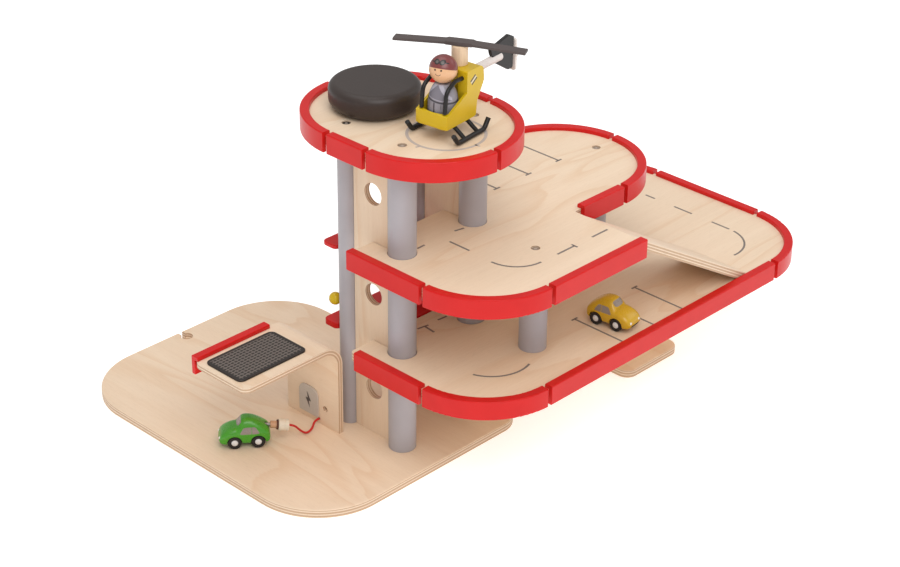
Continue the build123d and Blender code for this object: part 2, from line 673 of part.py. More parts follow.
def helicopter_body():
    """Block with a raked nose, an open cockpit and a tall column behind it."""
    pts = [(HELI_NOSE, HELI_BOTTOM), (18.8, HELI_BOTTOM), (20.2, 27.0), (30.2, 43.5), (28.6, HELI_COL_TOP),
           (HELI_COL, HELI_COL_TOP), (HELI_COL, 38.4), (-19.5, HELI_NOSE_TOP + 0.8), (HELI_NOSE + 3.0, HELI_NOSE_TOP)]
    body = side_profile(pts, [1.5, 2.5, 10, 6, 6, 1.5, 0, 3, 1.0], HELI_HALF)
    body &= rod(HELI_NOSE + HELI_BOW, 0, 0, HELI_COL_TOP + 5, HELI_BOW)
    floor = HELI_BOTTOM + 3.0
    inner = HELI_HALF - HELI_WALL
    bay = box(HELI_NOSE, HELI_COL, -inner, inner, floor, 60)
    bay &= rod(HELI_NOSE + HELI_BOW, 0, floor, 60, HELI_BOW - 4.4)
    body -= bay
    body -= rod(SEAT_S, 0, floor, 60, SEAT_R)
    body -= Pos(30.0, 0, BOOM_Z) * Rot(0, 90, 0) * Cylinder(BOOM_R + 0.1, 16.0)
    return body


def rotor_mast():
    """Light wood mast on the column."""
    body = rod(MAST_S, 0, HELI_COL_TOP, MAST_TOP, MAST_R)
    return chamfer(body.edges().group_by(Axis.Z)[-1], 0.6)


def main_rotor():
    """Two flat blades that droop slightly from a thicker hub, with a short pin head on top."""
    half, w, t = ROTOR_L / 2, ROTOR_W / 2, ROTOR_T
    z0 = MAST_TOP + SEAT
    hub = 13.0
    d = ROTOR_DROOP
    pts = [(-half, z0 - d + 0.6), (-hub, z0 + 0.4), (-hub + 2, z0), (hub - 2, z0), (hub, z0 + 0.4), (half, z0 - d + 0.6),
           (half, z0 - d + 0.6 + t), (hub, z0 + 0.4 + t), (hub - 2, z0 + t + 1.2), (-hub + 2, z0 + t + 1.2),
           (-hub, z0 + 0.4 + t), (-half, z0 - d + 0.6 + t)]
    face = make_face(Polyline(*pts, close=True).edges())
    blade = extrude(Plane.XZ.from_local_coords(face), amount=2 * w, dir=(0, 1, 0))
    blade = Pos(0, -w, 0) * blade
    return Pos(MAST_S, 0, 0) * Rot(0, 0, ROTOR_TURN - HELI_TURN) * blade


def tail_boom():
    """Round boom from the column to the fin, slotted for the fin."""
    s0 = 22.0
    body = Pos((s0 + BOOM_END) / 2, 0, BOOM_Z) * Rot(0, 90, 0) * Cylinder(BOOM_R, BOOM_END - s0)
    body = fillet(body.edges().filter_by(GeomType.CIRCLE).sort_by(Axis.X)[-1], 2.0)
    return body - box(FIN_SLOT, BOOM_END + 5, -FIN_T / 2 - 0.05, FIN_T / 2 + 0.05, 0, 90)


def tail_fin():
    """Swept fin, above and below the boom."""
    f, b, low, top = FIN_FRONT, FIN_BACK, FIN_LOW, FIN_TOP
    pts = [(f, top - 5.4), (f + 1.5, BOOM_Z + 5.8), (f + 8.7, BOOM_Z - 4.4), (b - 7.7, low), (b - 1.2, low),
           (b, top - 3.8), (b - 7.0, top)]
    return side_profile(pts, [1.2, 1, 3, 1.5, 1.2, 1.2, 1.5], FIN_T / 2)


TAIL_AXIS = 40.8               # height of the tail rotor's axis above the deck
TAIL_HUB = 2.6


def tail_rotor():
    """Upright two-blade tail rotor with a round hub and a domed pin behind the fin."""
    s0 = FIN_BACK + SEAT
    blades = box(s0 + 0.4, s0 + 0.4 + TAIL_T, -TAIL_W / 2, TAIL_W / 2, TAIL_AXIS - TAIL_L / 2, TAIL_AXIS + TAIL_L / 2)
    blades = chamfer(blades.edges().filter_by(Axis.X), 1.2)
    hub = Pos(s0 + 2.6, 0, TAIL_AXIS) * Rot(0, 90, 0) * Cylinder(TAIL_HUB + 1.2, 5.2)
    hub = chamfer(hub.edges().filter_by(GeomType.CIRCLE).sort_by(Axis.X)[-1], 1.4)
    return blades + hub


def bent_bar(points, radii, r):
    """A bent round bar."""
    return tube(points, r, radii)


def landing_skids():
    """Two skids with raised ends, and the cross tubes that carry the body."""
    z = SKID_R + SEAT
    out = None
    for side in (-1, 1):
        n = side * SKID_N
        pts = [(SKID_FRONT - SKID_OUT, n, z + SKID_UP), (SKID_FRONT, n, z), (SKID_REAR, n, z),
               (SKID_REAR + SKID_OUT, n, z + SKID_UP)]
        bar = tube(pts, SKID_R, [5.0, 5.0])
        out = bar if out is None else out + bar
    top = HELI_BOTTOM - SKID_R + 0.3
    for s in (-7.5, 11.0):
        pts = [(s, -SKID_N, z + 0.4), (s, -13.0, top - 0.3), (s, 13.0, top - 0.3), (s, SKID_N, z + 0.4)]
        out = out + tube(pts, SKID_R - 0.25, [5.0, 5.0])
    return out


def cockpit_bars():
    """Two bent bars from the nose rim up and back to the column."""
    bars = []
    for side in (-1, 1):
        n = side * BARS_N
        pts = [(HELI_NOSE + 5.1, n, HELI_NOSE_TOP + 1.6), (-18.0, n, 46.0), (-6.0, n * 0.98, 52.2),
               (HELI_COL - SEAT, n * 0.93, 51.2)]
        bars.append(tube(pts, BARS_R, [9.0, 12.0]))
    return Compound(bars)


def pilot_body():
    """Peg pilot's body: a barrel that narrows to the neck."""
    z0 = HELI_BOTTOM + 3.0 + SEAT
    r = PILOT_R
    top = PILOT_NECK_Z
    pts_line = [Line((0, z0), (r - 1.5, z0)), ThreePointArc((r - 1.5, z0), (r - 0.44, z0 + 0.44), (r, z0 + 1.5)),
                Line((r, z0 + 1.5), (r, z0 + 10)), ThreePointArc((r, z0 + 10), (r - 1.9, z0 + 22.5), (7.0, top)),
                Line((7.0, top), (0, top)), Line((0, top), (0, z0))]
    face = Plane.XZ.from_local_coords(make_face(Wire(pts_line).edges()))
    return Pos(SEAT_S, 0, 0) * revolve(face, Axis.Z, 360)


def pilot_head():
    """Round head, flattened where it meets the neck."""
    r, low = PILOT_HEAD_R, PILOT_NECK_Z - PILOT_HEAD_Z
    flat = 3.0 if low <= -r else sqrt(r * r - low * low)
    z0 = -sqrt(r * r - flat * flat)
    lines = [Line((0, r), (0, z0)), Line((0, z0), (flat, z0)), ThreePointArc((flat, z0), (r, 0), (0, r))]
    face = Plane.XZ.from_local_coords(make_face(Wire(lines).edges()))
    return Pos(SEAT_S, 0, PILOT_HEAD_Z) * revolve(face, Axis.Z, 360)


# ------------------------------------------------------------------ cars (own axes: x forward, z up from the floor)
def car_profile(points, radii, half):
    """A body block from a side view."""
    face = Plane.XZ.from_local_coords(outline(points, radii))
    return Pos(0, -half, 0) * extrude(face, amount=2 * half, dir=(0, 1, 0))


def car_block(side_pts, side_radii, roof_half):
    """Body block: where the side view, the plan and the front view all allow it."""
    half = CAR_W / 2
    x0, x1 = min(p[0] for p in side_pts), max(p[0] for p in side_pts)
    z1 = max(p[1] for p in side_pts)
    body = car_profile(side_pts, side_radii, half + 1)
    plan = outline([(x0 - 0.5, -half), (x1 + 0.5, -half), (x1 + 0.5, half), (x0 - 0.5, half)], [CAR_NOSE] * 4)
    body &= plate(plan, 0, z1 + 5)
    front = outline([(-half + 0.8, 0), (half - 0.8, 0), (half, 9), (half - 0.6, CAR_BELT), (roof_half, z1 + 0.3),
                     (-roof_half, z1 + 0.3), (-half + 0.6, CAR_BELT), (-half, 9)], [0, 0, 8, 7, 4, 4, 7, 8])
    face = Plane.YZ.from_local_coords(front)
    return body & (Pos(x0 - 5, 0, 0) * extrude(face, amount=x1 - x0 + 10, dir=(1, 0, 0)))


CAR_NOSE = 7.0                 # corner radius of the bodies in plan
CAR_BELT = 15.5                # height where the sides start to lean in
WELL_GAP = 0.9                 # gap between a wheel and its arch


def car_body(side_pts, side_radii, roof_half, socket):
    """Rounded toy car body with wheel arches, axle bores and a charging socket in its tail if asked."""
    body = car_block(side_pts, side_radii, roof_half)
    wide = CAR_W / 2
    for s in (-1, 1):
        x = s * CAR_BASE / 2
        for side in (-1, 1):
            y1 = side * (wide + 2)
            y0 = side * (CAR_TRACK / 2 - WHEEL_W - 0.7)
            well = Cylinder(WHEEL_R + WELL_GAP, abs(y1 - y0))
            body -= Pos(x, (y0 + y1) / 2, WHEEL_R) * Rot(90, 0, 0) * well
        body -= Pos(x, 0, WHEEL_R) * Rot(90, 0, 0) * Cylinder(AXLE_R + AXLE_RUN, 2 * wide + 4)
    if socket:
        tail = min(p[0] for p in side_pts)
        bore = Cylinder(JACK_BORE, 2 * SOCKET_DEEP)
        body -= Pos(tail, 0, SOCKET_Z) * Rot(0, 90, 0) * bore
    return body


def wheel_pair(x):
    """Two wheels on their axle."""
    r, w = WHEEL_R, WHEEL_W
    out = Pos(x, 0, WHEEL_R) * Rot(90, 0, 0) * Cylinder(AXLE_R, CAR_TRACK - 0.8)
    for side in (-1, 1):
        y = side * (CAR_TRACK / 2 - w / 2)
        wheel = Pos(x, y, WHEEL_R) * Rot(90, 0, 0) * Cylinder(r, w)
        wheel = fillet(wheel.edges().filter_by(GeomType.CIRCLE), 0.9)
        out += wheel
    return out


GREEN_PTS = [(-20.5, 4.2), (23.0, 4.2), (25.0, 9.0), (23.5, 15.0), (14.0, 21.0), (8.2, 22.0), (3.5, 29.0), (-6.0, 29.0),
             (-17.5, 21.0), (-22.0, 12.0)]
GREEN_RADII = [2.5, 4, 5, 7, 6, 2, 5, 12, 8, 5]
YELLOW_PTS = [(-20.5, 4.2), (23.2, 4.2), (25.4, 9.0), (24.0, 15.5), (14.5, 20.8), (8.8, 21.6), (4.0, 28.8), (-5.0, 28.8),
              (-16.5, 21.5), (-22.0, 12.0)]
YELLOW_RADII = [2.5, 4, 5, 7, 6, 2, 5, 12, 8, 5]
ROOF_HALF = 8.4                # half width of the roofs
GREEN_PLACE = (-98.1, 104.9, 142.0)
YELLOW_PLACE = (172.0, -99.2, -82.4)


def placed(part, place, z):
    """A car piece in its place: x, y of its middle, heading in degrees and floor height."""
    x, y, turn = place
    return Pos(x, y, z + SEAT) * Rot(0, 0, turn) * part


def car_nodes(name, pts, radii, roof_half, place, z, socket):
    """Body and two wheel sets of one car, by node name."""
    return {
        name + "_car_body": placed(car_body(pts, radii, roof_half, socket), place, z),
        name + "_front_wheels": placed(wheel_pair(CAR_BASE / 2), place, z),
        name + "_rear_wheels": placed(wheel_pair(-CAR_BASE / 2), place, z),
    }


# ------------------------------------------------------------------ everything
def all_nodes():
    """Every piece by node name, in the layout's own frame."""
    nodes = {
        "base_board": base_board(), "foot_board": foot_board(), "lower_deck": lower_deck(),
        "middle_deck": middle_deck(), "top_deck": top_deck(), "ramp_board": ramp_board(),
        "left_tower_panel": tower_panel(0), "right_tower_panel": tower_panel(TOWER_W),
        "tower_posts": tower_posts(), "guide_rods": guide_rods(), "deck_posts": deck_posts(),
        "foot_post": foot_post(), "deck_screws": deck_screws(),
    }
    nodes.update(lower_fences())
    nodes.update(middle_fences())
    nodes.update(top_fences())
    nodes.update({
        "canopy": canopy(), "canopy_fascia": canopy_fascia(), "solar_panel": solar_panel(),
        "charger_sign": charger_sign(), "charger_cord": tube(CORD_PATH, CORD), "charger_plug": charger_plug(),
        "charger_tip": charger_tip(),
        "cord_bar": cord_bar(), "hoist_run": hoist_run(), "hoist_cord": hoist_cord(),
        "winding_knob": winding_knob(), "knob_spindle": knob_spindle(), "hoist_spool": hoist_spool(),
        "hoist_winding": hoist_winding(),
        "cab_floor": cab_plate(LOWER_Z - CAB_T, CAB_T), "cab_roof": cab_plate(LOWER_Z + CAB_H - CAB_ROOF_T, CAB_ROOF_T),
        "cab_posts": cab_posts(), "cab_knob": cab_knob(),
        "helicopter_body": heli(helicopter_body()), "rotor_mast": heli(rotor_mast()), "main_rotor": heli(main_rotor()),
        "tail_boom": heli(tail_boom()), "tail_fin": heli(tail_fin()), "tail_rotor": heli(tail_rotor()),
        "landing_skids": heli(landing_skids()), "cockpit_bars": heli(cockpit_bars()),
        "pilot_body": heli(pilot_body()), "pilot_head": heli(pilot_head()),
    })
    nodes.update(car_nodes("green", GREEN_PTS, GREEN_RADII, ROOF_HALF, GREEN_PLACE, BOARD, True))
    nodes.update(car_nodes("yellow", YELLOW_PTS, YELLOW_RADII, ROOF_HALF, YELLOW_PLACE, LOWER_Z, False))
    return nodes


ORIGIN = ((BASE_L + DECK_R + SKIRT) / 2, (DECK_F - SKIRT + BASE_B) / 2)   # middle of the footprint

if __name__ == "__main__":
    print("origin in the layout:", ORIGIN)
    for name, part in all_nodes().items():
        moved = Pos(-ORIGIN[0], -ORIGIN[1], 0) * part
        export_step(moved, "parts/" + name + ".step")
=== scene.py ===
"""Looks of a wooden toy parking garage: boards, fences, lift, charging bay, cars, helicopter and pilot.

Shapes are drawn in millimetres on the layout's own axes, whose origin is the axis of the thick post
at the front left of the tower, and are moved into the part's frame when they become meshes.
"""
import json
from math import cos, sin, pi, radians

import bmesh
import bpy
import numpy as np
from bpy.props import FloatProperty, FloatVectorProperty, PointerProperty
from mathutils import Matrix, Vector


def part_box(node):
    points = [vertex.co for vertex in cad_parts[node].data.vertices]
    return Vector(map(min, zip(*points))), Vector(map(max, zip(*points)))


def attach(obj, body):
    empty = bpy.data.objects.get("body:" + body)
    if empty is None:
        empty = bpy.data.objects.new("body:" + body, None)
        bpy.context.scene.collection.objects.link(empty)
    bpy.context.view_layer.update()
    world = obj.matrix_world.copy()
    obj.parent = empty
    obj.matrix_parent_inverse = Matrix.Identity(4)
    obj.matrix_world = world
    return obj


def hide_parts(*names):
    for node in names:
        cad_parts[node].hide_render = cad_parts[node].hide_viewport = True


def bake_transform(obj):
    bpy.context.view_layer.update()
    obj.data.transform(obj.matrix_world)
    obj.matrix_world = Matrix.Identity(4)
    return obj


bl_info = {
    "name": "Toy parking garage",
    "version": (1, 0, 0),
    "blender": (4, 5, 0),
    "location": "View3D > Sidebar > Garage",
    "description": "Dresses a packed toy parking garage and sets its stage",
    "category": "Object",
}

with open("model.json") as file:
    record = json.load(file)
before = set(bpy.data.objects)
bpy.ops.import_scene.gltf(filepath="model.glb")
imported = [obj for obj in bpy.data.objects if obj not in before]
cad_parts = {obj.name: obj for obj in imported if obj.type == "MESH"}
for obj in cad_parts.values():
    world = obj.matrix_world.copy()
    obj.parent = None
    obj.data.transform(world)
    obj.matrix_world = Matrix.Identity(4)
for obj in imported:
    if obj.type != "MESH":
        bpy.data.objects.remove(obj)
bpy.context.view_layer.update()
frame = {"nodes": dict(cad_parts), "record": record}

# places and sizes in mm on the layout's axes, turns in degrees about Z
LAYOUT = (152.3, 82.45, 0.0)                  # the part's own origin
LOWER, MIDDLE, TOP = 109.0, 209.0, 313.0      # upper faces of the decks
HELI_AT, HELI_TURN = (46.45, -7.9, TOP), 7.3
STRIPE_SIDE = 16.2                            # the helicopter's stripes lie beyond this half width
SEAT_X, HEAD_Z = -6.0, 60.9                   # the pilot's axis and the middle of the head, on the helicopter's axes
KNOB_X, KNOB_Y = 39.9, 74.5
CARS = {"green": ((-98.1, 104.9, 9.3), 142.0), "yellow": ((172.0, -99.2, 109.3), -82.4)}
AXLE_X, WHEEL_RADIUS = 10.8, 6.25             # on the car's own axes
BEND_X, BEND_Z, BEND_RADIUS = -44.3, 82.5, 22.0          # the canopy's bend, along Y
SOLAR_AT, SOLAR_HALF = (-94.0, 90.5), (36.6, 21.2)       # middle and half sides of the field of cells
BOLT_AT = (-29.4, 94.85, 30.0)
WELD, SOLID_WELD = 1e-6, 2e-6                 # points nearer than this, in metres, are one


# ---------------------------------------------------------------- sizes and colours a user may change
def tint(name, words, value):
    """A colour property."""
    return FloatVectorProperty(name=name, description=words, default=value, size=3, subtype="COLOR", min=0, max=1)


def length(name, words, value):
    """A length property in metres, given in mm."""
    return FloatProperty(name=name, description=words, default=value / 1000, min=0, unit="LENGTH", precision=5)


class GarageColours(bpy.types.PropertyGroup):
    """Colours of the paints and woods."""
    birch: tint("Birch", "Light tone of the plywood faces", (0.86, 0.685, 0.51))
    birch_dark: tint("Birch grain", "Dark tone of the plywood's grain", (0.74, 0.545, 0.375))
    red: tint("Fence red", "Gloss paint of the fences and lift plates", (0.61, 0.006, 0.005))
    grey: tint("Post grey", "Satin paint of the dowels", (0.42, 0.395, 0.415))
    knob: tint("Knob", "Dark stain of the winding knob", (0.030, 0.021, 0.018))
    yellow: tint("Yellow", "Paint of the helicopter and the cab's knob", (0.68, 0.46, 0.008))
    amber: tint("Amber", "Paint of the yellow car", (0.62, 0.37, 0.014))
    green: tint("Green", "Paint of the green car", (0.062, 0.33, 0.016))
    line: tint("Road line", "Ink of the road markings", (0.22, 0.185, 0.165))


class GarageSizes(bpy.types.PropertyGroup):
    """Sizes of the finish."""
    board_edge: length("Board edge", "Rounding of the boards' edges", 0.7)
    line_width: length("Line width", "Width of the road markings", 2.2)
    line_height: length("Line height", "Thickness of the road markings", 0.12)
    cord_radius: length("Cord radius", "Radius of the charging cord", 1.05)
    solar_pitch: length("Solar pitch", "Pitch of the solar panel's grid", 4.0)


class GarageSettings(bpy.types.PropertyGroup):
    """All settings of the garage."""
    colours: PointerProperty(type=GarageColours)
    sizes: PointerProperty(type=GarageSizes)


def settings():
    """The garage's settings on the current scene."""
    return bpy.context.scene.toy_garage


# ---------------------------------------------------------------- shader maths
class Num:
    """A value carried by a socket; arithmetic on it adds Math nodes."""

    def __init__(self, finish, socket):
        self.finish, self.socket = finish, socket

    def math(self, operation, *others, clamp=False):
        """A Math node on this value and others."""
        return self.finish.add("ShaderNodeMath", {"operation": operation, "use_clamp": clamp},
                               dict(enumerate((self,) + others)))

    def __add__(self, other):
        return self.math("ADD", other)

    def __mul__(self, other):
        return self.math("MULTIPLY", other)

    def __sub__(self, other):
        return self.math("SUBTRACT", other)

    def __rsub__(self, other):
        return self.math("MULTIPLY", -1.0) + other

    def __truediv__(self, other):
        return self.math("DIVIDE", other)

    def __pow__(self, other):
        return self.math("POWER", other)

    def __abs__(self):
        return self.math("ABSOLUTE")

    def __or__(self, other):
        return self.math("MAXIMUM", other)

    def over(self, limit, soft=0.3):
        """1 above a limit, 0 below it, with a soft step."""
        return ((self - limit) * (1 / soft) + 0.5).math("ADD", 0.0, clamp=True)

    def under(self, limit, soft=0.3):
        """1 below a limit."""
        return 1 - self.over(limit, soft)


class Finish:
    """A material under construction around one Principled shader."""

    def __init__(self, name, **fixed):
        self.material = bpy.data.materials.new(name)
        self.material.use_nodes = True
        self.tree = self.material.node_tree
        self.tree.nodes.clear()
        output = self.tree.nodes.new("ShaderNodeOutputMaterial")
        self.shader = self.tree.nodes.new("ShaderNodeBsdfPrincipled")
        self.tree.links.new(self.shader.outputs[0], output.inputs[0])
        for key, value in fixed.items():
            self.set(key, value)

    def add(self, kind, options=None, inputs=None, output=0):
        """A node of a type, with its settings and then its sockets' values or links."""
        node = self.tree.nodes.new(kind)
        for key, value in (options or {}).items():
            setattr(node, key, value)
        for key, value in (inputs or {}).items():
            self.feed(node.inputs[key], value)
        return Num(self, node.outputs[output])

    def feed(self, socket, value):
        """Links a carried value to a socket, or sets a plain one."""
        if isinstance(value, Num):
            self.tree.links.new(value.socket, socket)
        elif socket.type == "RGBA" and len(value) == 3:
            socket.default_value = (*value, 1)
        else:
            socket.default_value = value

    def set(self, key, value):
        """Feeds one of the shader's own sockets."""
        self.feed(self.shader.inputs[key.replace("_", " ")], value)

    def local(self, at=(0, 0, 0), turn=0.0):
        """Coordinates in mm on axes of the layout that stand at a place and are turned about Z."""
        coords = self.add("ShaderNodeTexCoord", output="Object")
        place = tuple((np.array(at) - LAYOUT) / 1000)
        return self.add("ShaderNodeMapping", {"vector_type": "TEXTURE"},
                        {0: coords, 1: place, 2: (0, 0, radians(turn)), 3: (0.001, 0.001, 0.001)})

    def split(self, vector):
        """The three components of a vector."""
        node = self.add("ShaderNodeSeparateXYZ", None, {0: vector})
        return [Num(self, socket) for socket in node.socket.node.outputs]

    def join(self, x, y, z):
        """A vector from three values."""
        return self.add("ShaderNodeCombineXYZ", None, {0: x, 1: y, 2: z})

    def noise(self, vector, scale, detail=3.0, rough=0.5, warp=0.0):
        """Noise from 0 to 1."""
        return self.add("ShaderNodeTexNoise", None, {"Vector": vector, "Scale": scale, "Detail": detail,
                                                     "Roughness": rough, "Distortion": warp})

    def mix(self, a, b, share):
        """A colour between two colours."""
        return self.add("ShaderNodeMix", {"data_type": "RGBA"}, {0: share, 6: a, 7: b}, 2)

    def done(self, colour, rough, height, distance, strength):
        """The material, once it has its colour, roughness and relief (height from 0 to 1, depth in m, strength)."""
        relief = self.add("ShaderNodeBump", None, {"Strength": strength, "Distance": distance, "Height": height})
        for key, value in (("Base Color", colour), ("Roughness", rough), ("Normal", relief)):
            self.set(key, value)
        return self.material


MATERIALS = {}


def finish_once(maker):
    """Keeps each finish, so that pieces of one kind share it."""
    def made(*args, **kwargs):
        key = (maker.__name__,) + args + tuple(sorted(kwargs.items()))
        if key not in MATERIALS:
            MATERIALS[key] = maker(*args, **kwargs)
        return MATERIALS[key]
    return made


@finish_once
def birch(grain="X", stack="Z", layer=1.5, slope=0.0):
    """Birch plywood: long streaks and bent growth rings on the faces, light and dark layers on the edges."""
    f = Finish("birch_%s_%s_%d" % (grain, stack, slope * 100), Specular_IOR_Level=0.3)
    axes = dict(zip("XYZ", f.split(f.local())))
    if slope:
        axes["Z"] = axes["Z"] + axes["X"] * slope
    face, streak, pores = birch_face(f, axes, grain)
    normal = f.add("ShaderNodeTexCoord", output="Normal")
    edge = abs(f.split(normal)["XYZ".index(stack)]).under(0.45, 0.2)
    return f.done(f.mix(face, ply_layers(f, axes[stack], layer, pores), edge), streak * 0.12 + 0.48,
                  streak * 0.5 + pores * 0.5, 0.00012, 0.5)


def birch_face(f, axes, grain):
    """Tone of a plywood face: cloudy, streaked along the grain, with a few warm rings where the veneer was peeled."""
    c = settings().colours
    stretched = f.join(*[axes[k] * (0.05 if k == grain else 1.0) for k in "XYZ"])
    wide = f.join(*[axes[k] * (0.22 if k == grain else 1.0) for k in "XYZ"])
    broad = f.noise(wide, 0.012, 2, 0.5, 0.5)
    streak = f.noise(stretched, 0.32, 4, 0.6, 0.4)
    pores = f.noise(stretched, 2.4, 2, 0.6)
    share = (f.noise(stretched, 0.05, 3, 0.55, 0.6) * 0.75 + streak * 0.45 - 0.34).math("ADD", 0.0, clamp=True)
    face = f.mix(c.birch[:], c.birch_dark[:], share)
    ring = (broad * 9.0 + streak * 0.25).math("FRACT")
    flame = ring.over(0.62, 0.5) * ring.under(0.93, 0.06) * broad.over(0.47, 0.12)
    face = f.mix(face, tuple(v * k for v, k in zip(c.birch_dark, (0.97, 0.86, 0.74))), flame * 0.38)
    face = f.mix(face, tuple(0.72 * v for v in c.birch_dark), pores.over(0.62, 0.1) * 0.18)
    return face, streak, pores


def ply_layers(f, depth, layer, pores):
    """Tone of a plywood edge: every other layer shows darker end grain, and thin glue lines part them."""
    c = settings().colours
    turn = depth * (1 / layer)
    end_grain = (turn * 0.5).math("FRACT").over(0.5, 0.06)
    glue = abs(turn.math("FRACT") - 0.5).over(0.42, 0.08)
    tone = f.mix(tuple(0.93 * v for v in c.birch), (0.50, 0.31, 0.185), end_grain * 0.85)
    tone = f.mix(tone, (0.33, 0.18, 0.095), glue * 0.6)
    return f.mix(tone, (0.52, 0.34, 0.20), pores.over(0.56, 0.2) * 0.3)


@finish_once
def paint(name, colour, rough=0.36, coat=0.1, mottle=0.08):
    """Sprayed paint: slow changes of tone, a few dusty specks and orange peel under the gloss."""
    f = Finish(name, Coat_Weight=coat, Coat_Roughness=0.15, Specular_IOR_Level=0.22)
    where = f.local()
    cloud = f.noise(where, 0.06, 3, 0.5)
    peel = f.noise(where, 0.9, 2, 0.5)
    dust = f.noise(where, 3.0, 3, 0.6)
    low, high = tuple(v * (1 - mottle) for v in colour), tuple(min(1, v * (1 + mottle) + 0.004) for v in colour)
    dusty = tuple(min(1, 0.82 * v + 0.03) for v in colour)
    tone = f.mix(f.mix(low, high, cloud), dusty, dust.over(0.66, 0.08) * 0.35)
    return f.done(tone, peel * 0.10 + (rough - 0.05), peel * 0.7 + dust * 0.3, 0.00006, 0.5)


@finish_once
def turned_wood(name, colour, at=(0, 0, 0), turn=0.0, grain="Z"):
    """Unpainted turned dowel: fine streaks along its length."""
    f = Finish(name, Specular_IOR_Level=0.4)
    axes = dict(zip("XYZ", f.split(f.local(at, turn))))
    lines = f.join(*[axes[k] * (0.05 if k == grain else 1.0) for k in "XYZ"])
    streak = f.noise(lines, 0.7, 4, 0.6, 0.3)
    fine = f.noise(lines, 3.0, 2, 0.6)
    tone = f.mix(colour, tuple(v * 0.80 for v in colour), (streak * 1.6 - 0.5).math("ADD", 0.0, clamp=True))
    return f.done(f.mix(tone, tuple(v * 0.62 for v in colour), fine.over(0.64, 0.1) * 0.4), fine * 0.15 + 0.42,
                  fine, 0.00008, 0.5)


@finish_once
def rubbery(name, colour, rough=0.55, metal=0.0):
    """Even dark material with a faint cloudiness."""
    f = Finish(name, Metallic=metal, Specular_IOR_Level=0.25)
    where = f.local()
    cloud = f.noise(where, 0.15, 3, 0.5)
    fine = f.noise(where, 2.2, 3, 0.6)
    tone = f.mix(colour, tuple(min(1, 1.3 * v + 0.003) for v in colour), (cloud * 0.7 + fine * 0.3))
    return f.done(tone, fine * 0.16 + (rough - 0.08), fine, 0.00005, 0.5)


# ---------------------------------------------------------------- mesh helpers
def patch(points, material=0):
    """A grid of points (rows, columns, 3) as vertices and faces: rows are closed rings, the end rows are capped."""
    rows, columns = points.shape[:2]
    i, j = np.arange(rows - 1)[:, None] * columns, np.arange(columns)[None, :]
    after = (j + 1) % columns
    quads = np.stack([i + j, i + columns + j, i + columns + after, i + after], -1).reshape(-1, 4)
    first, last = list(range(columns)), list(range((rows - 1) * columns, rows * columns))
    return points.reshape(-1, 3), quads.tolist() + [first, last[::-1]], material


def lathe(profile, steps=64, material=0):
    """A profile of (radius, height) turned about Z; points on the axis close it."""
    profile = np.array(profile, float)
    turn = np.linspace(0, 2 * pi, steps, endpoint=False)
    ring = np.stack([np.cos(turn), np.sin(turn)], -1)
    xy = profile[:, None, :1] * ring[None]
    z = np.broadcast_to(profile[:, None, 1:], (*xy.shape[:2], 1))
    return patch(np.concatenate([xy, z], -1), material)


def arc_points(centre, radius, start, end, count):
    """Points on an arc in a plane, from start to end degrees."""
    a = np.radians(np.linspace(start, end, count))
    return np.stack([centre[0] + radius * np.cos(a), centre[1] + radius * np.sin(a)], -1)


def tube_patch(path, radius, steps=16):
    """A round section carried along a path; each ring stands square to the path."""
    path = np.array(path, float)
    along = np.gradient(path, axis=0)
    along /= np.linalg.norm(along, axis=1)[:, None]
    seed = np.array([0.0, 0.0, 1.0]) if abs(along[0, 2]) < 0.9 else np.array([1.0, 0, 0])
    side = np.cross(along, seed)
    side /= np.linalg.norm(side, axis=1)[:, None]
    up = np.cross(side, along)
    turn = np.linspace(0, 2 * pi, steps, endpoint=False)
    circle = np.cos(turn)[None, :, None] * side[:, None] + np.sin(turn)[None, :, None] * up[:, None]
    return patch(path[:, None] + radius * circle)


def turned(points, at, turn):
    """Points turned about Z by degrees and moved to a place."""
    t = radians(turn)
    spin = np.array([[cos(t), sin(t), 0], [-sin(t), cos(t), 0], [0, 0, 1]])
    return np.asarray(points) @ spin + np.array(at, float)


def moved(part, at=(0, 0, 0), turn=0.0, axis="Z"):
    """A patch moved to a place; axis names the way its own Z points before the turn."""
    points, faces, material = part
    if axis == "X":
        points = points[:, [2, 0, 1]]
    elif axis == "Y":
        points = points[:, [1, 2, 0]]
    return turned(points, at, turn), faces, material


def pointed(part, at, way):
    """A patch whose own Z is laid along a direction from a place."""
    way = np.array(way) / np.linalg.norm(way)
    side = np.cross((0, 0, 1), way)
    side /= np.linalg.norm(side)
    points, faces, material = part
    return points @ np.stack([side, np.cross(way, side), way]) + np.array(at), faces, material


def linked(name, data):
    """A new object on the scene that shows some data."""
    thing = bpy.data.objects.new(name, data)
    bpy.context.scene.collection.objects.link(thing)
    return thing


def build(name, parts, finishes, body, nodes=(), slot=None, angle=40.0):
    """A piece from patches in layout mm: merged, turned outwards, smoothed up to an angle, and riding on a body."""
    verts, faces, marks, start = [], [], [], 0
    for points, part_faces, material in parts:
        verts.append(np.asarray(points))
        faces += [[start + i for i in face] for face in part_faces]
        marks += [material] * len(part_faces)
        start += len(points)
    placed = (np.concatenate(verts) - LAYOUT) / 1000
    mesh = bpy.data.meshes.new(name)
    mesh.from_pydata(placed.tolist(), [], faces)
    mesh.polygons.foreach_set("material_index", marks)
    work = bmesh.new()
    work.from_mesh(mesh)
    bmesh.ops.remove_doubles(work, verts=work.verts, dist=WELD)
    bmesh.ops.dissolve_degenerate(work, edges=work.edges, dist=1e-7)
    bmesh.ops.recalc_face_normals(work, faces=work.faces)
    work.to_mesh(mesh)
    work.free()
    return finished(name, mesh, finishes, body, nodes, slot, angle)


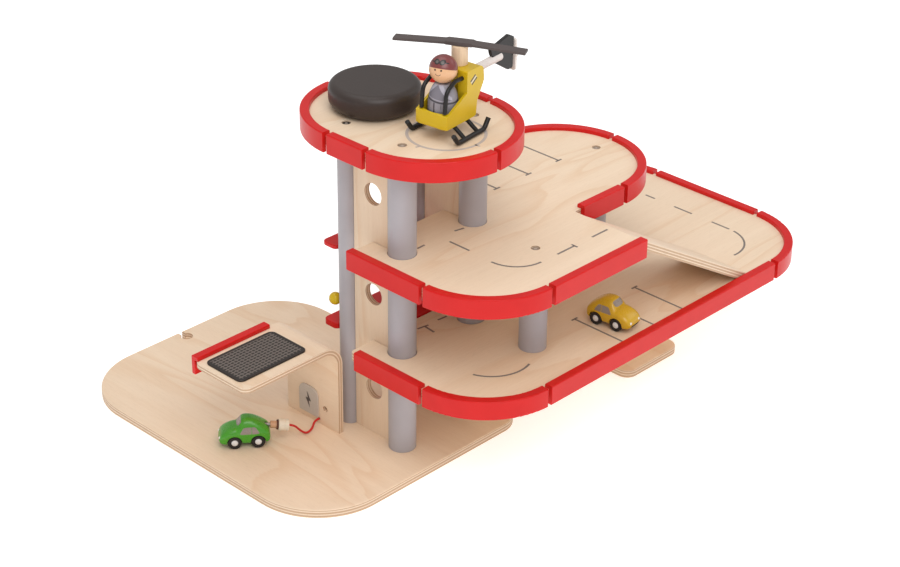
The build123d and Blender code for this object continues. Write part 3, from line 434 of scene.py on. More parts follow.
def finished(name, mesh, finishes, body, nodes=(), slot=None, angle=40.0):
    """A piece's object with its finishes, smoothing and body; the nodes it stands for are hidden, and their material
    slot is looked up but not set.
    """
    for finish in finishes:
        mesh.materials.append(finish)
    mesh.polygons.foreach_set("use_smooth", [True] * len(mesh.polygons))
    mesh.set_sharp_from_angle(angle=radians(angle))
    piece = linked(name, mesh)
    if body:
        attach(piece, body)
    if nodes:
        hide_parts(*nodes)
        slot = slot or material_slot(nodes[0])
    return piece


def material_slot(node):
    """The record's material slot of a node."""
    for part in frame["record"]["subparts"]:
        if part["node"] == node:
            return part["material_slot"]
    raise RuntimeError("no slot for " + node)


def node_body(node):
    """The body that a node belongs to."""
    for body, nodes in frame["record"]["behaviour"]["bodies"].items():
        if node in nodes:
            return body
    raise RuntimeError("no body for " + node)


def softened(node, finish, edge=0.6, segments=2, angle=35.0):
    """A copy of a node's solid with its sharp edges rounded, standing for the node."""
    mesh = frame["nodes"][node].data.copy()
    mesh.name = node + "_soft"
    mesh.materials.clear()
    work = bmesh.new()
    work.from_mesh(mesh)
    bmesh.ops.remove_doubles(work, verts=work.verts, dist=SOLID_WELD)
    bmesh.ops.dissolve_limit(work, angle_limit=radians(0.4), verts=work.verts, edges=work.edges)
    sharp = [e for e in work.edges if len(e.link_faces) == 2 and e.calc_face_angle() > radians(angle)]
    if edge and sharp:
        bmesh.ops.bevel(work, geom=sharp, offset=edge / 1000, offset_type="OFFSET", segments=segments, profile=0.5,
                        affect="EDGES", clamp_overlap=True)
    work.to_mesh(mesh)
    work.free()
    piece = finished(node + "_soft", mesh, [finish], node_body(node), [node], angle=angle)
    even = piece.modifiers.new("even shading", "WEIGHTED_NORMAL")
    even.keep_sharp = True
    even.weight = 100
    return piece


# ---------------------------------------------------------------- operators
CAMERA_AT = (-1156.54, -1170.10, 1083.13)
CAMERA_ANGLES = (-46.1295, 28.7926, 0.6708)        # heading, height over the horizon and roll
# name, place and target in metres in the part's frame, side in metres, power in watts
LAMPS = (("key_light", (-0.9, -1.3, 1.9), (0.05, 0.0, 0.15), 1.5, 25),
         ("side_light", (1.9, -0.9, 1.4), (0.1, 0.0, 0.1), 1.4, 6),
         ("top_light", (-0.1, 0.4, 2.2), (0.0, 0.0, 0.1), 1.6, 11))


class Step:
    """What all the steps share."""
    bl_options = {"REGISTER", "UNDO"}


class GARAGE_OT_stage(Step, bpy.types.Operator):
    """Pale floor, soft studio light and the camera"""
    bl_idname = "garage.stage"
    bl_label = "Stage and camera"

    def execute(self, context):
        scene = bpy.context.scene
        scene.view_settings.view_transform = "Standard"
        f = Finish("studio_floor", Roughness=0.9, Emission_Color=(1, 1, 1), Emission_Strength=0.45)
        cloud = f.noise(f.local(), 0.004, 2)
        f.set("Base Color", f.mix((0.93, 0.93, 0.93), (0.95, 0.95, 0.95), cloud))
        mesh = bpy.data.meshes.new("floor")
        side = 6.0
        mesh.from_pydata([(-side, -side, 0), (side, -side, 0), (side, side, 0), (-side, side, 0)], [], [(0, 1, 2, 3)])
        mesh.materials.append(f.material)
        linked("floor", mesh)
        world = bpy.data.worlds.new("studio")
        world.use_nodes = True
        sky = world.node_tree.nodes["Background"].inputs
        sky[0].default_value, sky[1].default_value = (1, 1, 1, 1), 0.52
        scene.world = world
        for row in LAMPS:
            lamp(*row)
        lens = bpy.data.cameras.new("camera")
        lens.lens, lens.sensor_width, lens.sensor_fit = 85.267, 36.0, "HORIZONTAL"
        lens.clip_start, lens.clip_end = 0.05, 30
        camera = linked("camera", lens)
        camera.matrix_world = camera_pose()
        scene.camera = camera
        return {"FINISHED"}


def camera_pose():
    """The camera's matrix: it looks right and back at the part, with a slight roll."""
    a, e, roll = np.radians(CAMERA_ANGLES)
    back = np.array([sin(a) * cos(e), -cos(a) * cos(e), sin(e)])
    right = np.array([cos(a), sin(a), 0.0])
    up = np.cross(back, right)
    x = right * cos(roll) + up * sin(roll)
    y = up * cos(roll) - right * sin(roll)
    pose = np.eye(4)
    pose[:3] = np.column_stack([x, y, back, (np.array(CAMERA_AT) - LAYOUT) / 1000])
    return Matrix(pose.tolist())


def lamp(name, at, target, size, power):
    """A soft square light that faces a target."""
    data = bpy.data.lights.new(name, "AREA")
    data.shape, data.size, data.energy = "SQUARE", size, power
    light = linked(name, data)
    light.location = at
    light.rotation_euler = (Vector(target) - Vector(at)).to_track_quat("-Z", "Y").to_euler()


# control points of the charging cord, and the plug on its end
CORD_ROUTE = [(-28.0, 81.8, 13.9), (-33.4, 82.6, 13.9), (-42.2, 76.1, 11.6), (-50.2, 75.4, 10.3), (-56.3, 77.1, 15.6),
              (-63.0, 77.48, 24.35), (-66.91, 80.53, 24.94)]
PLUG_AT, PLUG_WAY, PLUG_TURN = (-80.45, 91.11, 27.0), (0.7824, -0.6113, -0.1191), -38.0


class GARAGE_OT_cord(Step, bpy.types.Operator):
    """Charging cord with its plug"""
    bl_idname = "garage.cord"
    bl_label = "Charging cord"

    def execute(self, context):
        s = settings()
        curve = bpy.data.curves.new("charging_cord", "CURVE")
        curve.dimensions = "3D"
        spline = curve.splines.new("NURBS")
        route = (np.array(CORD_ROUTE) - LAYOUT) / 1000
        spline.points.add(len(route) - 1)
        spline.points.foreach_set("co", np.column_stack([route, np.ones(len(route))]).ravel())
        spline.order_u, spline.use_endpoint_u = 3, True
        spline.resolution_u = 12
        curve.bevel_depth, curve.bevel_resolution, curve.use_fill_caps = s.sizes.cord_radius, 4, True
        cord = linked("charging_cord", curve)
        curve.materials.append(paint("cord_red", (0.55, 0.02, 0.02), 0.45, 0.1))
        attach(cord, "garage")
        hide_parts("charger_cord")
        cream = turned_wood("plug_cream", (0.80, 0.70, 0.55), PLUG_AT, PLUG_TURN, "X")
        r = 5.6
        body = [(0, 7.6), (r - 0.9, 7.6), (r - 0.25, 7.85), (r, 8.5), (r, 13.9), (r - 0.22, 14.2), (r - 0.22, 14.5),
                (r, 14.8), (r, 16.4), (r - 0.25, 17.05), (r - 0.9, 17.3), (1.9, 17.3), (1.6, 17.05), (1.3, 17.3),
                (0, 17.3)]
        plug = build("plug_body", [pointed(lathe(body, 48), PLUG_AT, PLUG_WAY)], [cream], "garage", ["charger_plug"])
        ring = [(0, 6.0), (4.4, 6.0), (4.7, 6.3), (4.7, 7.3), (4.4, 7.6), (0, 7.6)]
        sleeve = [(0, 0), (3.0, 0), (3.4, 0.4), (3.4, 5.7), (3.1, 6.0), (0, 6.0)]
        jack = [(0, -7.4), (1.0, -7.2), (1.5, -6.6), (1.5, 0), (0, 0)]
        parts = [pointed(lathe(p, 40, m), PLUG_AT, PLUG_WAY) for m, p in enumerate((ring, sleeve, jack))]
        looks = [rubbery("plug_ring", (0.10, 0.035, 0.022)),
                 turned_wood("plug_sleeve", (0.62, 0.34, 0.19), PLUG_AT, PLUG_TURN, "X"),
                 rubbery("plug_jack", (0.30, 0.28, 0.26), 0.4, 0.9)]
        tip = build("plug_tip", parts, looks, "garage", ["charger_tip"])
        return {"FINISHED"}


class GARAGE_OT_boards(Step, bpy.types.Operator):
    """Base, decks, ramp and foot board in birch plywood"""
    bl_idname = "garage.boards"
    bl_label = "Boards"

    def execute(self, context):
        s = settings()
        edge = s.sizes.board_edge * 1000
        flat = birch("X", "Z")
        for node in ("lower_deck", "middle_deck", "top_deck"):
            softened(node, flat, edge)
        for node in ("base_board", "foot_board"):
            softened(node, birch("Y", "Z"), 0.3)
        softened("ramp_board", birch("X", "Z", 1.5, 0.585), 0.5)
        return {"FINISHED"}


# the first screw is the dark one, the others a lighter brownish grey; each has a paler disc in its middle, which is a
# painted highlight
SCREWS = ((-2.0, 67.0, TOP), (0.0, 0.0, TOP), (89.0, 0.0, TOP), (90.0, -75.5, MIDDLE), (286.0, 23.0, MIDDLE))


class GARAGE_OT_tower(Step, bpy.types.Operator):
    """Upright panels, dowels and screws"""
    bl_idname = "garage.tower"
    bl_label = "Tower"

    def execute(self, context):
        s = settings()
        for node in ("left_tower_panel", "right_tower_panel"):
            softened(node, birch("Z", "X", 1.2), 0.4)
        grey = paint("post_grey", s.colours.grey[:], 0.42, 0.12, 0.06)
        for node in ("tower_posts", "guide_rods", "deck_posts", "foot_post"):
            softened(node, grey, 0.4)
        dark = rubbery("screw_dark", (0.035, 0.028, 0.024), 0.5, 0.3)
        brown_grey = rubbery("screw_worn", (0.30, 0.22, 0.165), 0.5, 0.2)
        # the paler tone of the disc in each screw head's middle is a painted highlight
        centre_highlight = rubbery("screw_heart", (0.42, 0.34, 0.28), 0.5, 0.2)
        rim = [(0, -2.2), (3.4, -2.2), (3.4, -0.9), (3.1, -0.6), (1.7, -0.6), (1.5, -1.0), (0, -1.0)]
        plate = [(0, -1.0), (1.45, -1.0), (1.45, -0.7), (0, -0.7)]
        parts = []
        for number, (x, y, level) in enumerate(SCREWS):
            parts += [moved(lathe(rim, 40, min(number, 1)), (x, y, level)), moved(lathe(plate, 24, 2), (x, y, level))]
        build("screw_heads", parts, [dark, brown_grey, centre_highlight], "garage", ["deck_screws"])
        return {"FINISHED"}


class GARAGE_OT_fences(Step, bpy.types.Operator):
    """Red fences round the decks"""
    bl_idname = "garage.fences"
    bl_label = "Fences"

    def execute(self, context):
        s = settings()
        red = paint("fence_red", s.colours.red[:])
        for node in frame["nodes"]:
            if node.endswith("_fence") or node.endswith("_fences") or node == "canopy_fascia":
                softened(node, red, 0.5)
        return {"FINISHED"}


# road lines of each deck, and its bends as centre, radius, first and last degree and count of points
ROAD = {
    LOWER: [[(400, 48.6), (400, 36.2)], [(400, 11.0), (400, -11.8)], [(400, -37.1), (400, -59.3)],
            [(154, -70), (154, -129)], [(150, -70), (158, -70)], [(198, -70), (198, -129)], [(194, -70), (202, -70)],
            [(240, -70), (240, -129)], [(236, -70), (244, -70)],
            [(38.4, 19.2), (50.5, 17.2)], [(46.5, 17.9), (45.0, 4.4)], [(63.3, 17.5), (74.1, 16.7)]],
    MIDDLE: [[(152, 29), (152, 98)], [(148, 29), (156, 29)], [(195.5, 29), (195.5, 98)], [(191.5, 29), (199.5, 29)],
             [(238, 29), (238, 98)], [(234, 29), (242, 29)],
             [(15.3, -3.4), (24.6, -3.0)], [(62.7, -3.0), (72.5, -5.0)], [(45, -14), (45, -38)],
             [(94.8, -97), (117.4, -97)], [(117.4, -93.5), (117.4, -100.5)], [(141, -97), (162, -97)]],
    TOP: [[(8.4, -12.2), (4.9, -11.3)], [(44.4, -43.2), (45.2, -48.4)]],
}
BENDS = {LOWER: [((363, -60), 37, -8, -96, 24), ((52.0, -59.0), 38.0, 200, 290, 24)],
         MIDDLE: [((74, -66), 30.5, 180, 270, 24)],
         TOP: [((43.5, -10.1), 34.1, 0, 360, 97)]}


class GARAGE_OT_markings(Step, bpy.types.Operator):
    """Road lines, bends and the landing circle"""
    bl_idname = "garage.markings"
    bl_label = "Road markings"

    def execute(self, context):
        s = settings()
        ink = paint("road_ink", s.colours.line[:], 0.6, 0.0, 0.15)
        pale = paint("pad_ink", tuple(2.3 * v for v in s.colours.line), 0.6, 0.0, 0.12)
        width = s.sizes.line_width * 1000
        low, high = -0.05, s.sizes.line_height * 1000
        for name, level in (("lower", LOWER), ("middle", MIDDLE), ("top", TOP)):
            lines = ROAD[level] + [arc_points(*bend) for bend in BENDS[level]]
            parts = [ribbon(line, width * (0.9 if len(line) < 50 else 1.25), level + low, level + high)
                     for line in lines]
            build(name + "_markings", parts, [pale if level == TOP else ink], "garage", slot="dark_cell", angle=30)
        return {"FINISHED"}


def ribbon(path, width, z0, z1):
    """A flat band along a path: its four edges are the path pushed half a width to each side, low and high."""
    path = np.asarray(path, float)
    step = np.gradient(path, axis=0)
    step /= np.linalg.norm(step, axis=1)[:, None]
    side = np.stack([-step[:, 1], step[:, 0]], -1) * width / 2
    corners = [(1, z0), (1, z1), (-1, z1), (-1, z0)]
    rings = np.stack([np.column_stack([path + side * k, np.full(len(path), z)]) for k, z in corners], 1)
    return patch(rings)


class GARAGE_OT_charging_bay(Step, bpy.types.Operator):
    """Bent canopy, solar panel and the sign on its wall"""
    bl_idname = "garage.charging_bay"
    bl_label = "Charging bay"

    def execute(self, context):
        softened("canopy", canopy_ply(), 0.5)
        softened("solar_panel", solar(), 0.0)
        softened("charger_sign", birch_sign(), 0.3)
        bolt = np.array([(2.0, 9.5), (-4.2, -1.2), (-0.6, -1.2), (-2.2, -9.5), (4.2, 1.6), (0.6, 1.6)]) * 0.85
        flat = [np.column_stack([np.full(6, x), bolt]) + BOLT_AT for x in (0.0, -0.25)]
        build("sign_bolt", [patch(np.stack(flat))], [paint("sign_ink", (0.10, 0.085, 0.08), 0.6, 0.0)], "garage",
              slot="dark_tip", angle=20)
        return {"FINISHED"}


def canopy_ply():
    """Birch plywood whose layers follow the bend of the canopy."""
    f = Finish("canopy_birch", Specular_IOR_Level=0.35)
    x, y, z = f.split(f.local())
    bend_x, bend_z = x - BEND_X, z - BEND_Z
    depth_bend = BEND_RADIUS - (bend_x * bend_x + bend_z * bend_z) ** 0.5
    depth_wall = x * -1 + (BEND_X + BEND_RADIUS)
    depth_roof = (BEND_Z + BEND_RADIUS) - z
    in_roof = x.under(BEND_X - 0.25, 0.3)
    in_wall = z.under(BEND_Z - 0.25, 0.3) * (1 - in_roof)
    depth = depth_roof * in_roof + depth_wall * in_wall + depth_bend * (1 - in_roof) * (1 - in_wall)
    face, streak, pores = birch_face(f, {"X": x, "Y": y, "Z": z}, "Y")
    normal = f.split(f.add("ShaderNodeTexCoord", output="Normal"))
    cut = abs(normal[1]).over(0.5, 0.2) | (normal[0].under(-0.6, 0.2) * in_roof * x.under(-137.0, 0.5))
    return f.done(f.mix(face, ply_layers(f, depth, 1.4, pores), cut), streak * 0.12 + 0.47,
                  streak * 0.5 + pores * 0.5, 0.00012, 0.5)


def solar():
    """Dark cells with a lighter square grid and a plain border."""
    f = Finish("solar_cells", Coat_Weight=0.05, Specular_IOR_Level=0.3)
    x, y, _ = f.split(f.local())
    pitch = settings().sizes.solar_pitch * 1000
    across = abs((x * (1 / pitch)).math("FRACT") - 0.5).over(0.37, 0.08)
    along = abs((y * (1 / (pitch * 0.9))).math("FRACT") - 0.5).over(0.33, 0.08)
    inside = abs(x - SOLAR_AT[0]).under(SOLAR_HALF[0], 0.3) * abs(y - SOLAR_AT[1]).under(SOLAR_HALF[1], 0.3)
    grid = (across * 0.85 | along) * inside
    grain = f.noise(f.local(), 1.5, 3)
    dark = f.mix((0.020, 0.015, 0.013), (0.034, 0.026, 0.022), grain)
    return f.done(f.mix(dark, (0.175, 0.145, 0.125), grid), grain * 0.15 + 0.38, grid, 0.0001, 0.6)


def birch_sign():
    """Greyish printed plate."""
    f = Finish("sign_plate")
    where = f.local()
    grain = f.noise(where, 0.6, 3)
    return f.done(f.mix((0.50, 0.44, 0.38), (0.58, 0.52, 0.46), grain), grain * 0.1 + 0.5, grain, 0.00005, 0.5)


class GARAGE_OT_lift(Step, bpy.types.Operator):
    """Lift cab, hoist and winding knob"""
    bl_idname = "garage.lift"
    bl_label = "Lift"

    def execute(self, context):
        s = settings()
        red = paint("fence_red", s.colours.red[:])
        for node in ("cab_floor", "cab_roof"):
            softened(node, red, 0.6)
        pale = turned_wood("dowel_wood", (0.80, 0.63, 0.45))
        for node in ("cab_posts", "knob_spindle", "hoist_spool"):
            softened(node, pale, 0.3)
        softened("cord_bar", turned_wood("bar_wood", (0.80, 0.63, 0.45), grain="X"), 0.3)
        softened("cab_knob", paint("cab_yellow", s.colours.yellow[:], 0.3, 0.3), 0.2)
        string = rubbery("hoist_string", (0.62, 0.58, 0.50), 0.8)
        softened("hoist_run", string, 0.0)
        low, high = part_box("hoist_cord")
        foot = np.array([(low[0] + high[0]) / 2, (low[1] + high[1]) / 2, low[2]])
        head = np.array([foot[0], foot[1], high[2]])
        line = (foot + (head - foot) * np.linspace(0, 1, 61)[:, None]) * 1000 + LAYOUT
        hanging = build("hoist_cord_hanging", [tube_patch(line, 0.8, 16)], [string], None, ["hoist_cord"])
        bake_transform(hanging)
        build("hoist_turns", [tube_patch(hoist_coil(), 0.62, 10)], [string], "winder", ["hoist_winding"])
        knob = moved(lathe(knob_profile(), 128), (KNOB_X, KNOB_Y, 0))
        build("knob_round", [knob], [knob_stain(s.colours.knob)], "winder", ["winding_knob"], angle=60)
        return {"FINISHED"}


def hoist_coil(radius=12.85, foot=296.6, pitch=1.25, count=4):
    """The cord's path round the drum: a helix of a few turns about the knob's axis."""
    a = np.linspace(0, count * 2 * pi, count * 40 + 1)
    return np.column_stack([KNOB_X + radius * np.cos(a), KNOB_Y + radius * np.sin(a), foot + a / (2 * pi) * pitch])


def knob_profile(r=41.4, height=23.2, upper=7.2, lower=9.0):
    """The knob's outline as (radius, height): flat faces joined by quarter circles at the upper and lower edge."""
    foot = TOP + 1.5
    head = foot + height
    flat = [(q, head) for q in np.linspace(4, r - upper - 1, 8)]
    edge = [(r - upper + upper * sin(a), head - upper + upper * cos(a)) for a in np.linspace(0, pi / 2, 12)]
    low = [(r - lower + lower * cos(a), foot + lower - lower * sin(a)) for a in np.linspace(0, pi / 2, 14)]
    return [(0, head)] + flat + edge + low + [(0, foot)]


def knob_stain(colour):
    """Dark stain with faint streaks across the knob."""
    f = Finish("knob_stain", Coat_Weight=0.06, Coat_Roughness=0.3, Specular_IOR_Level=0.35)
    where = f.local((KNOB_X, KNOB_Y, 326))
    x, y, z = f.split(where)
    lines = f.noise(f.join(x, y * 0.05, z), 0.5, 4, 0.6, 0.3)
    fine = f.noise(where, 2.5, 3, 0.6)
    return f.done(f.mix(colour[:], tuple(v * 1.7 for v in colour), lines * 0.7 + fine * 0.3), fine * 0.12 + 0.36,
                  lines * 0.5 + fine * 0.5, 0.00008, 0.5)


class GARAGE_OT_helicopter(Step, bpy.types.Operator):
    """Helicopter with its rotors, skids and bars"""
    bl_idname = "garage.helicopter"
    bl_label = "Helicopter"

    def execute(self, context):
        softened("helicopter_body", heli_paint(settings().colours.yellow[:]), 0.8, 3)
        softened("rotor_mast", turned_wood("mast_wood", (0.82, 0.60, 0.40), HELI_AT, HELI_TURN), 0.3)
        softened("main_rotor", rubbery("rotor_stain", (0.075, 0.058, 0.055), 0.45), 0.4)
        softened("tail_boom", turned_wood("boom_wood", (0.80, 0.72, 0.68), HELI_AT, HELI_TURN, "X"), 0.2)
        softened("tail_fin", rubbery("fin_black", (0.018, 0.016, 0.016), 0.35), 0.4)
        softened("tail_rotor", turned_wood("tail_wood", (0.80, 0.73, 0.68), HELI_AT, HELI_TURN), 0.3)
        black = rubbery("skid_black", (0.014, 0.013, 0.013), 0.3)
        for node in ("landing_skids", "cockpit_bars"):
            softened(node, black, 0.0)
        return {"FINISHED"}


def heli_paint(colour):
    """Paint with a slanted mark on each side of the column: a pale stripe between two dark ones."""
    f = Finish("heli_yellow", Coat_Weight=0.12, Coat_Roughness=0.15, Specular_IOR_Level=0.35)
    where = f.local(HELI_AT, HELI_TURN)
    x, y, z = f.split(where)
    cloud = f.noise(where, 0.08, 3)
    peel = f.noise(where, 1.2, 3)
    tone = f.mix(tuple(v * 0.88 for v in colour), colour, cloud)
    rise = z - 48.0
    across = x * 0.55 - rise * 0.84 - 8.0
    field = abs((x - 15.0) * 0.84 + rise * 0.55).under(4.2, 0.3) * abs(y).over(STRIPE_SIDE, 0.3)
    bars = abs(abs(across) - 1.9).under(0.75, 0.25) * field
    pale = abs(across).under(0.7, 0.25) * field
    tone = f.mix(tone, (0.05, 0.045, 0.04), bars)
    tone = f.mix(tone, (0.70, 0.66, 0.58), pale)
    return f.done(tone, peel * 0.1 + 0.28, peel, 0.00005, 0.5)


def ball(centre, radii, steps=24, material=0):
    """An ellipsoid: a half circle turned about Z and stretched."""
    a = np.linspace(-pi / 2, pi / 2, steps // 2 + 1)
    points, faces, mark = lathe(np.stack([np.cos(a), np.sin(a)], -1), steps, material)
    return points * np.array(radii) + np.array(centre), faces, mark


class GARAGE_OT_pilot(Step, bpy.types.Operator):
    """Peg pilot with cap and goggles"""
    bl_idname = "garage.pilot"
    bl_label = "Pilot"

    def execute(self, context):
        r, foot, shoulder, top = 13.2, 16.8, 26.8, 48.4
        side = [(r * (1 - 0.47 * t ** 2.6), shoulder + t * (top - shoulder)) for t in np.linspace(0, 1, 20)]
        suit = [(0, foot), (r - 1.5, foot), (r - 0.44, foot + 0.44), (r, foot + 1.5)] + side + [(0, top)]
        build("pilot_suit", [seated(lathe(suit, 72))], [suit_paint()], "pilot", ["pilot_body"], angle=50)
        r = 12.4
        side = [(r * cos(a), HEAD_Z + r * sin(a)) for a in np.linspace(-pi / 2 + 0.16, pi / 2, 40)]
        head = [(0, HEAD_Z - r * 0.985)] + side
        build("pilot_round_head", [seated(lathe(head, 96))], [face_paint()], "pilot", ["pilot_head"], angle=60)
        return {"FINISHED"}


def seated(part):
    """A patch drawn round the pilot's own axis, moved to the seat in the helicopter."""
    points, faces, material = part
    return turned(points + (SEAT_X, 0, 0), HELI_AT, HELI_TURN), faces, material


def suit_paint():
    """Grey suit, drawn on the helicopter's axes: belt, legs, pockets and a pale collar, all on the front."""
    f = Finish("pilot_suit")
    where = f.local(HELI_AT, HELI_TURN)
    x, y, z = f.split(where)
    cloth = f.noise(where, 0.8, 3)
    front = x.under(SEAT_X - 3.0, 0.5)
    over_belt = z - (y * 0.12 + 35.0)
    belt = abs(over_belt).under(0.75, 0.3)
    below = over_belt.under(-1.0, 0.4)
    legs = abs(y).under(0.7, 0.3) * below * front
    pocket = abs(abs(y) - 6.2).under(0.35, 0.2) * below * z.over(28.0, 0.4) * front
    chest = z - 47.0
    collar = (abs(y) + chest * 0.75).under(5.2, 0.4) * over_belt.over(1.6, 0.4) * front
    gap = (abs(y) + chest * 0.95).under(1.5, 0.3) * over_belt.over(2.0, 0.4) * front
    tone = f.mix((0.235, 0.22, 0.245), (0.31, 0.29, 0.325), cloth)
    tone = f.mix(tone, (0.47, 0.45, 0.52), collar * 0.85)
    tone = f.mix(tone, (0.20, 0.185, 0.215), gap)
    return f.done(f.mix(tone, (0.055, 0.05, 0.06), belt | legs | pocket * 0.6), cloth * 0.15 + 0.45,
                  cloth * 0.3 - belt - legs, 0.0001, 0.5)


def face_paint():
    """Skin, cap, goggles, eyes and smile, drawn on axes from the head's middle whose -X looks out of the face."""
    f = Finish("pilot_face", Coat_Weight=0.25)
    middle = turned(np.array([SEAT_X, 0, HEAD_Z]), HELI_AT, HELI_TURN)
    x, y, z = f.split(f.local(middle, HELI_TURN + 14.3))
    grain = f.noise(f.local(), 0.9, 3)
    ahead = x.under(-3.0, 0.5)
    cap = (z + x * 0.36).over(0.3, 0.25)
    tone = f.mix((0.78, 0.47, 0.26), (0.70, 0.38, 0.19), grain)
    tone = f.mix(tone, f.mix((0.165, 0.030, 0.030), (0.21, 0.045, 0.042), grain), cap)
    strap = abs(z + x * 0.30 - 6.4).under(0.5, 0.25) * x.under(-5.5, 0.6)
    lens_y, lens_z = (abs(y) - 2.5) / 2.6, (z - 8.9) / 1.8
    lens = (lens_y * lens_y + lens_z * lens_z) ** 0.5
    goggles = strap | lens.under(1.0, 0.12) * ahead
    tone = f.mix(tone, (0.014, 0.012, 0.011), goggles)
    tone = f.mix(tone, (0.12, 0.10, 0.09), lens.under(0.55, 0.2) * ahead)
    eye_y, eye_z = abs(y) - 2.8, z - 2.9
    eyes = ((eye_y * eye_y + eye_z * eye_z * 0.8) ** 0.5).under(0.8, 0.2) * ahead
    smile_z = z - 0.7
    smile = abs((y * y + smile_z * smile_z) ** 0.5 - 2.6).under(0.26, 0.15) * smile_z.under(-1.1, 0.3) * ahead
    return f.done(f.mix(tone, (0.03, 0.015, 0.01), eyes | smile), grain * 0.1 + 0.32,
                  cap * 0.5 + goggles * 0.4 + grain * 0.1, 0.0002, 0.5)


# side views of the cars: x from tail to nose, height of the roof line, half width, height of the lower edge
GREEN_SHAPE = np.array([
    (-22.0, 12.6, 8.2, 9.0), (-21.4, 15.2, 9.4, 6.4), (-19.9, 18.1, 10.4, 4.9), (-17.0, 20.9, 11.1, 4.4),
    (-12.5, 24.3, 11.4, 4.2), (-7.5, 27.3, 11.4, 4.2), (-3.0, 28.7, 11.4, 4.2), (1.0, 28.8, 11.4, 4.2),
    (3.8, 27.5, 11.4, 4.2), (6.2, 24.4, 11.4, 4.2), (8.4, 21.9, 11.4, 4.2), (11.5, 21.1, 11.4, 4.2),
    (15.5, 19.7, 11.4, 4.2), (19.5, 17.2, 11.2, 4.5), (22.6, 14.5, 10.4, 5.2), (24.3, 11.6, 9.2, 6.6),
    (24.9, 9.6, 7.4, 8.2)])
YELLOW_SHAPE = np.array([
    (-22.0, 12.6, 8.0, 9.0), (-21.3, 15.4, 9.4, 6.4), (-19.4, 18.6, 10.5, 4.9), (-16.2, 21.6, 11.1, 4.4),
    (-11.5, 25.0, 11.4, 4.2), (-7.0, 27.5, 11.4, 4.2), (-2.5, 28.6, 11.4, 4.2), (1.4, 28.6, 11.4, 4.2),
    (4.2, 27.2, 11.4, 4.2), (6.6, 24.0, 11.4, 4.2), (8.9, 21.6, 11.4, 4.2), (12.0, 20.9, 11.4, 4.2),
    (16.0, 19.6, 11.4, 4.2), (20.0, 17.3, 11.2, 4.5), (23.0, 14.8, 10.4, 5.2), (24.7, 11.8, 9.2, 6.6),
    (25.3, 9.6, 7.4, 8.2)])


def smooth_rows(table, count):
    """Catmull-Rom curve through the rows of a table, sampled evenly in its parameter."""
    t = np.linspace(0, len(table) - 1, count)
    i = np.minimum(t.astype(int), len(table) - 2)
    f = (t - i)[:, None]
    p = [table[np.clip(i + k, 0, len(table) - 1)] for k in (-1, 0, 1, 2)]
    return 0.5 * (2 * p[1] + (p[2] - p[0]) * f + (2 * p[0] - 5 * p[1] + 4 * p[2] - p[3]) * f ** 2
                  + (3 * p[1] - p[0] - 3 * p[2] + p[3]) * f ** 3)


def car_shell(shape, belt=15.5, lean=0.27):
    """Rounded car body: a section at each x, square below and soft above, whose sides lean in above the belt."""
    rows = smooth_rows(shape, 96)
    turn = np.linspace(0, 2 * pi, 72, endpoint=False)
    cy, sz = np.cos(turn), np.sin(turn)
    power = np.where(sz < 0, 0.34, 0.60)
    unit_y = np.sign(cy) * np.abs(cy) ** power
    unit_z = np.sign(sz) * np.abs(sz) ** power
    x, top, half, low = (rows[:, k, None] for k in range(4))
    z = (top + low) / 2 + (top - low) / 2 * unit_z
    rise = np.clip((z - belt) / 12.0, 0, 1)
    y = half * unit_y * (1 - lean * rise ** 1.1)
    body = np.stack([np.broadcast_to(x, z.shape), y, z], -1)
    ends = []
    for row, way in ((body[0], -1), (body[-1], 1)):
        middle = row.mean(0)
        ends.append([middle + (row - middle) * k + (way * (1 - k) * 0.5, 0, 0) for k in (0.8, 0.5, 0.15)])
    return patch(np.concatenate([ends[0][::-1], body, ends[1]]))


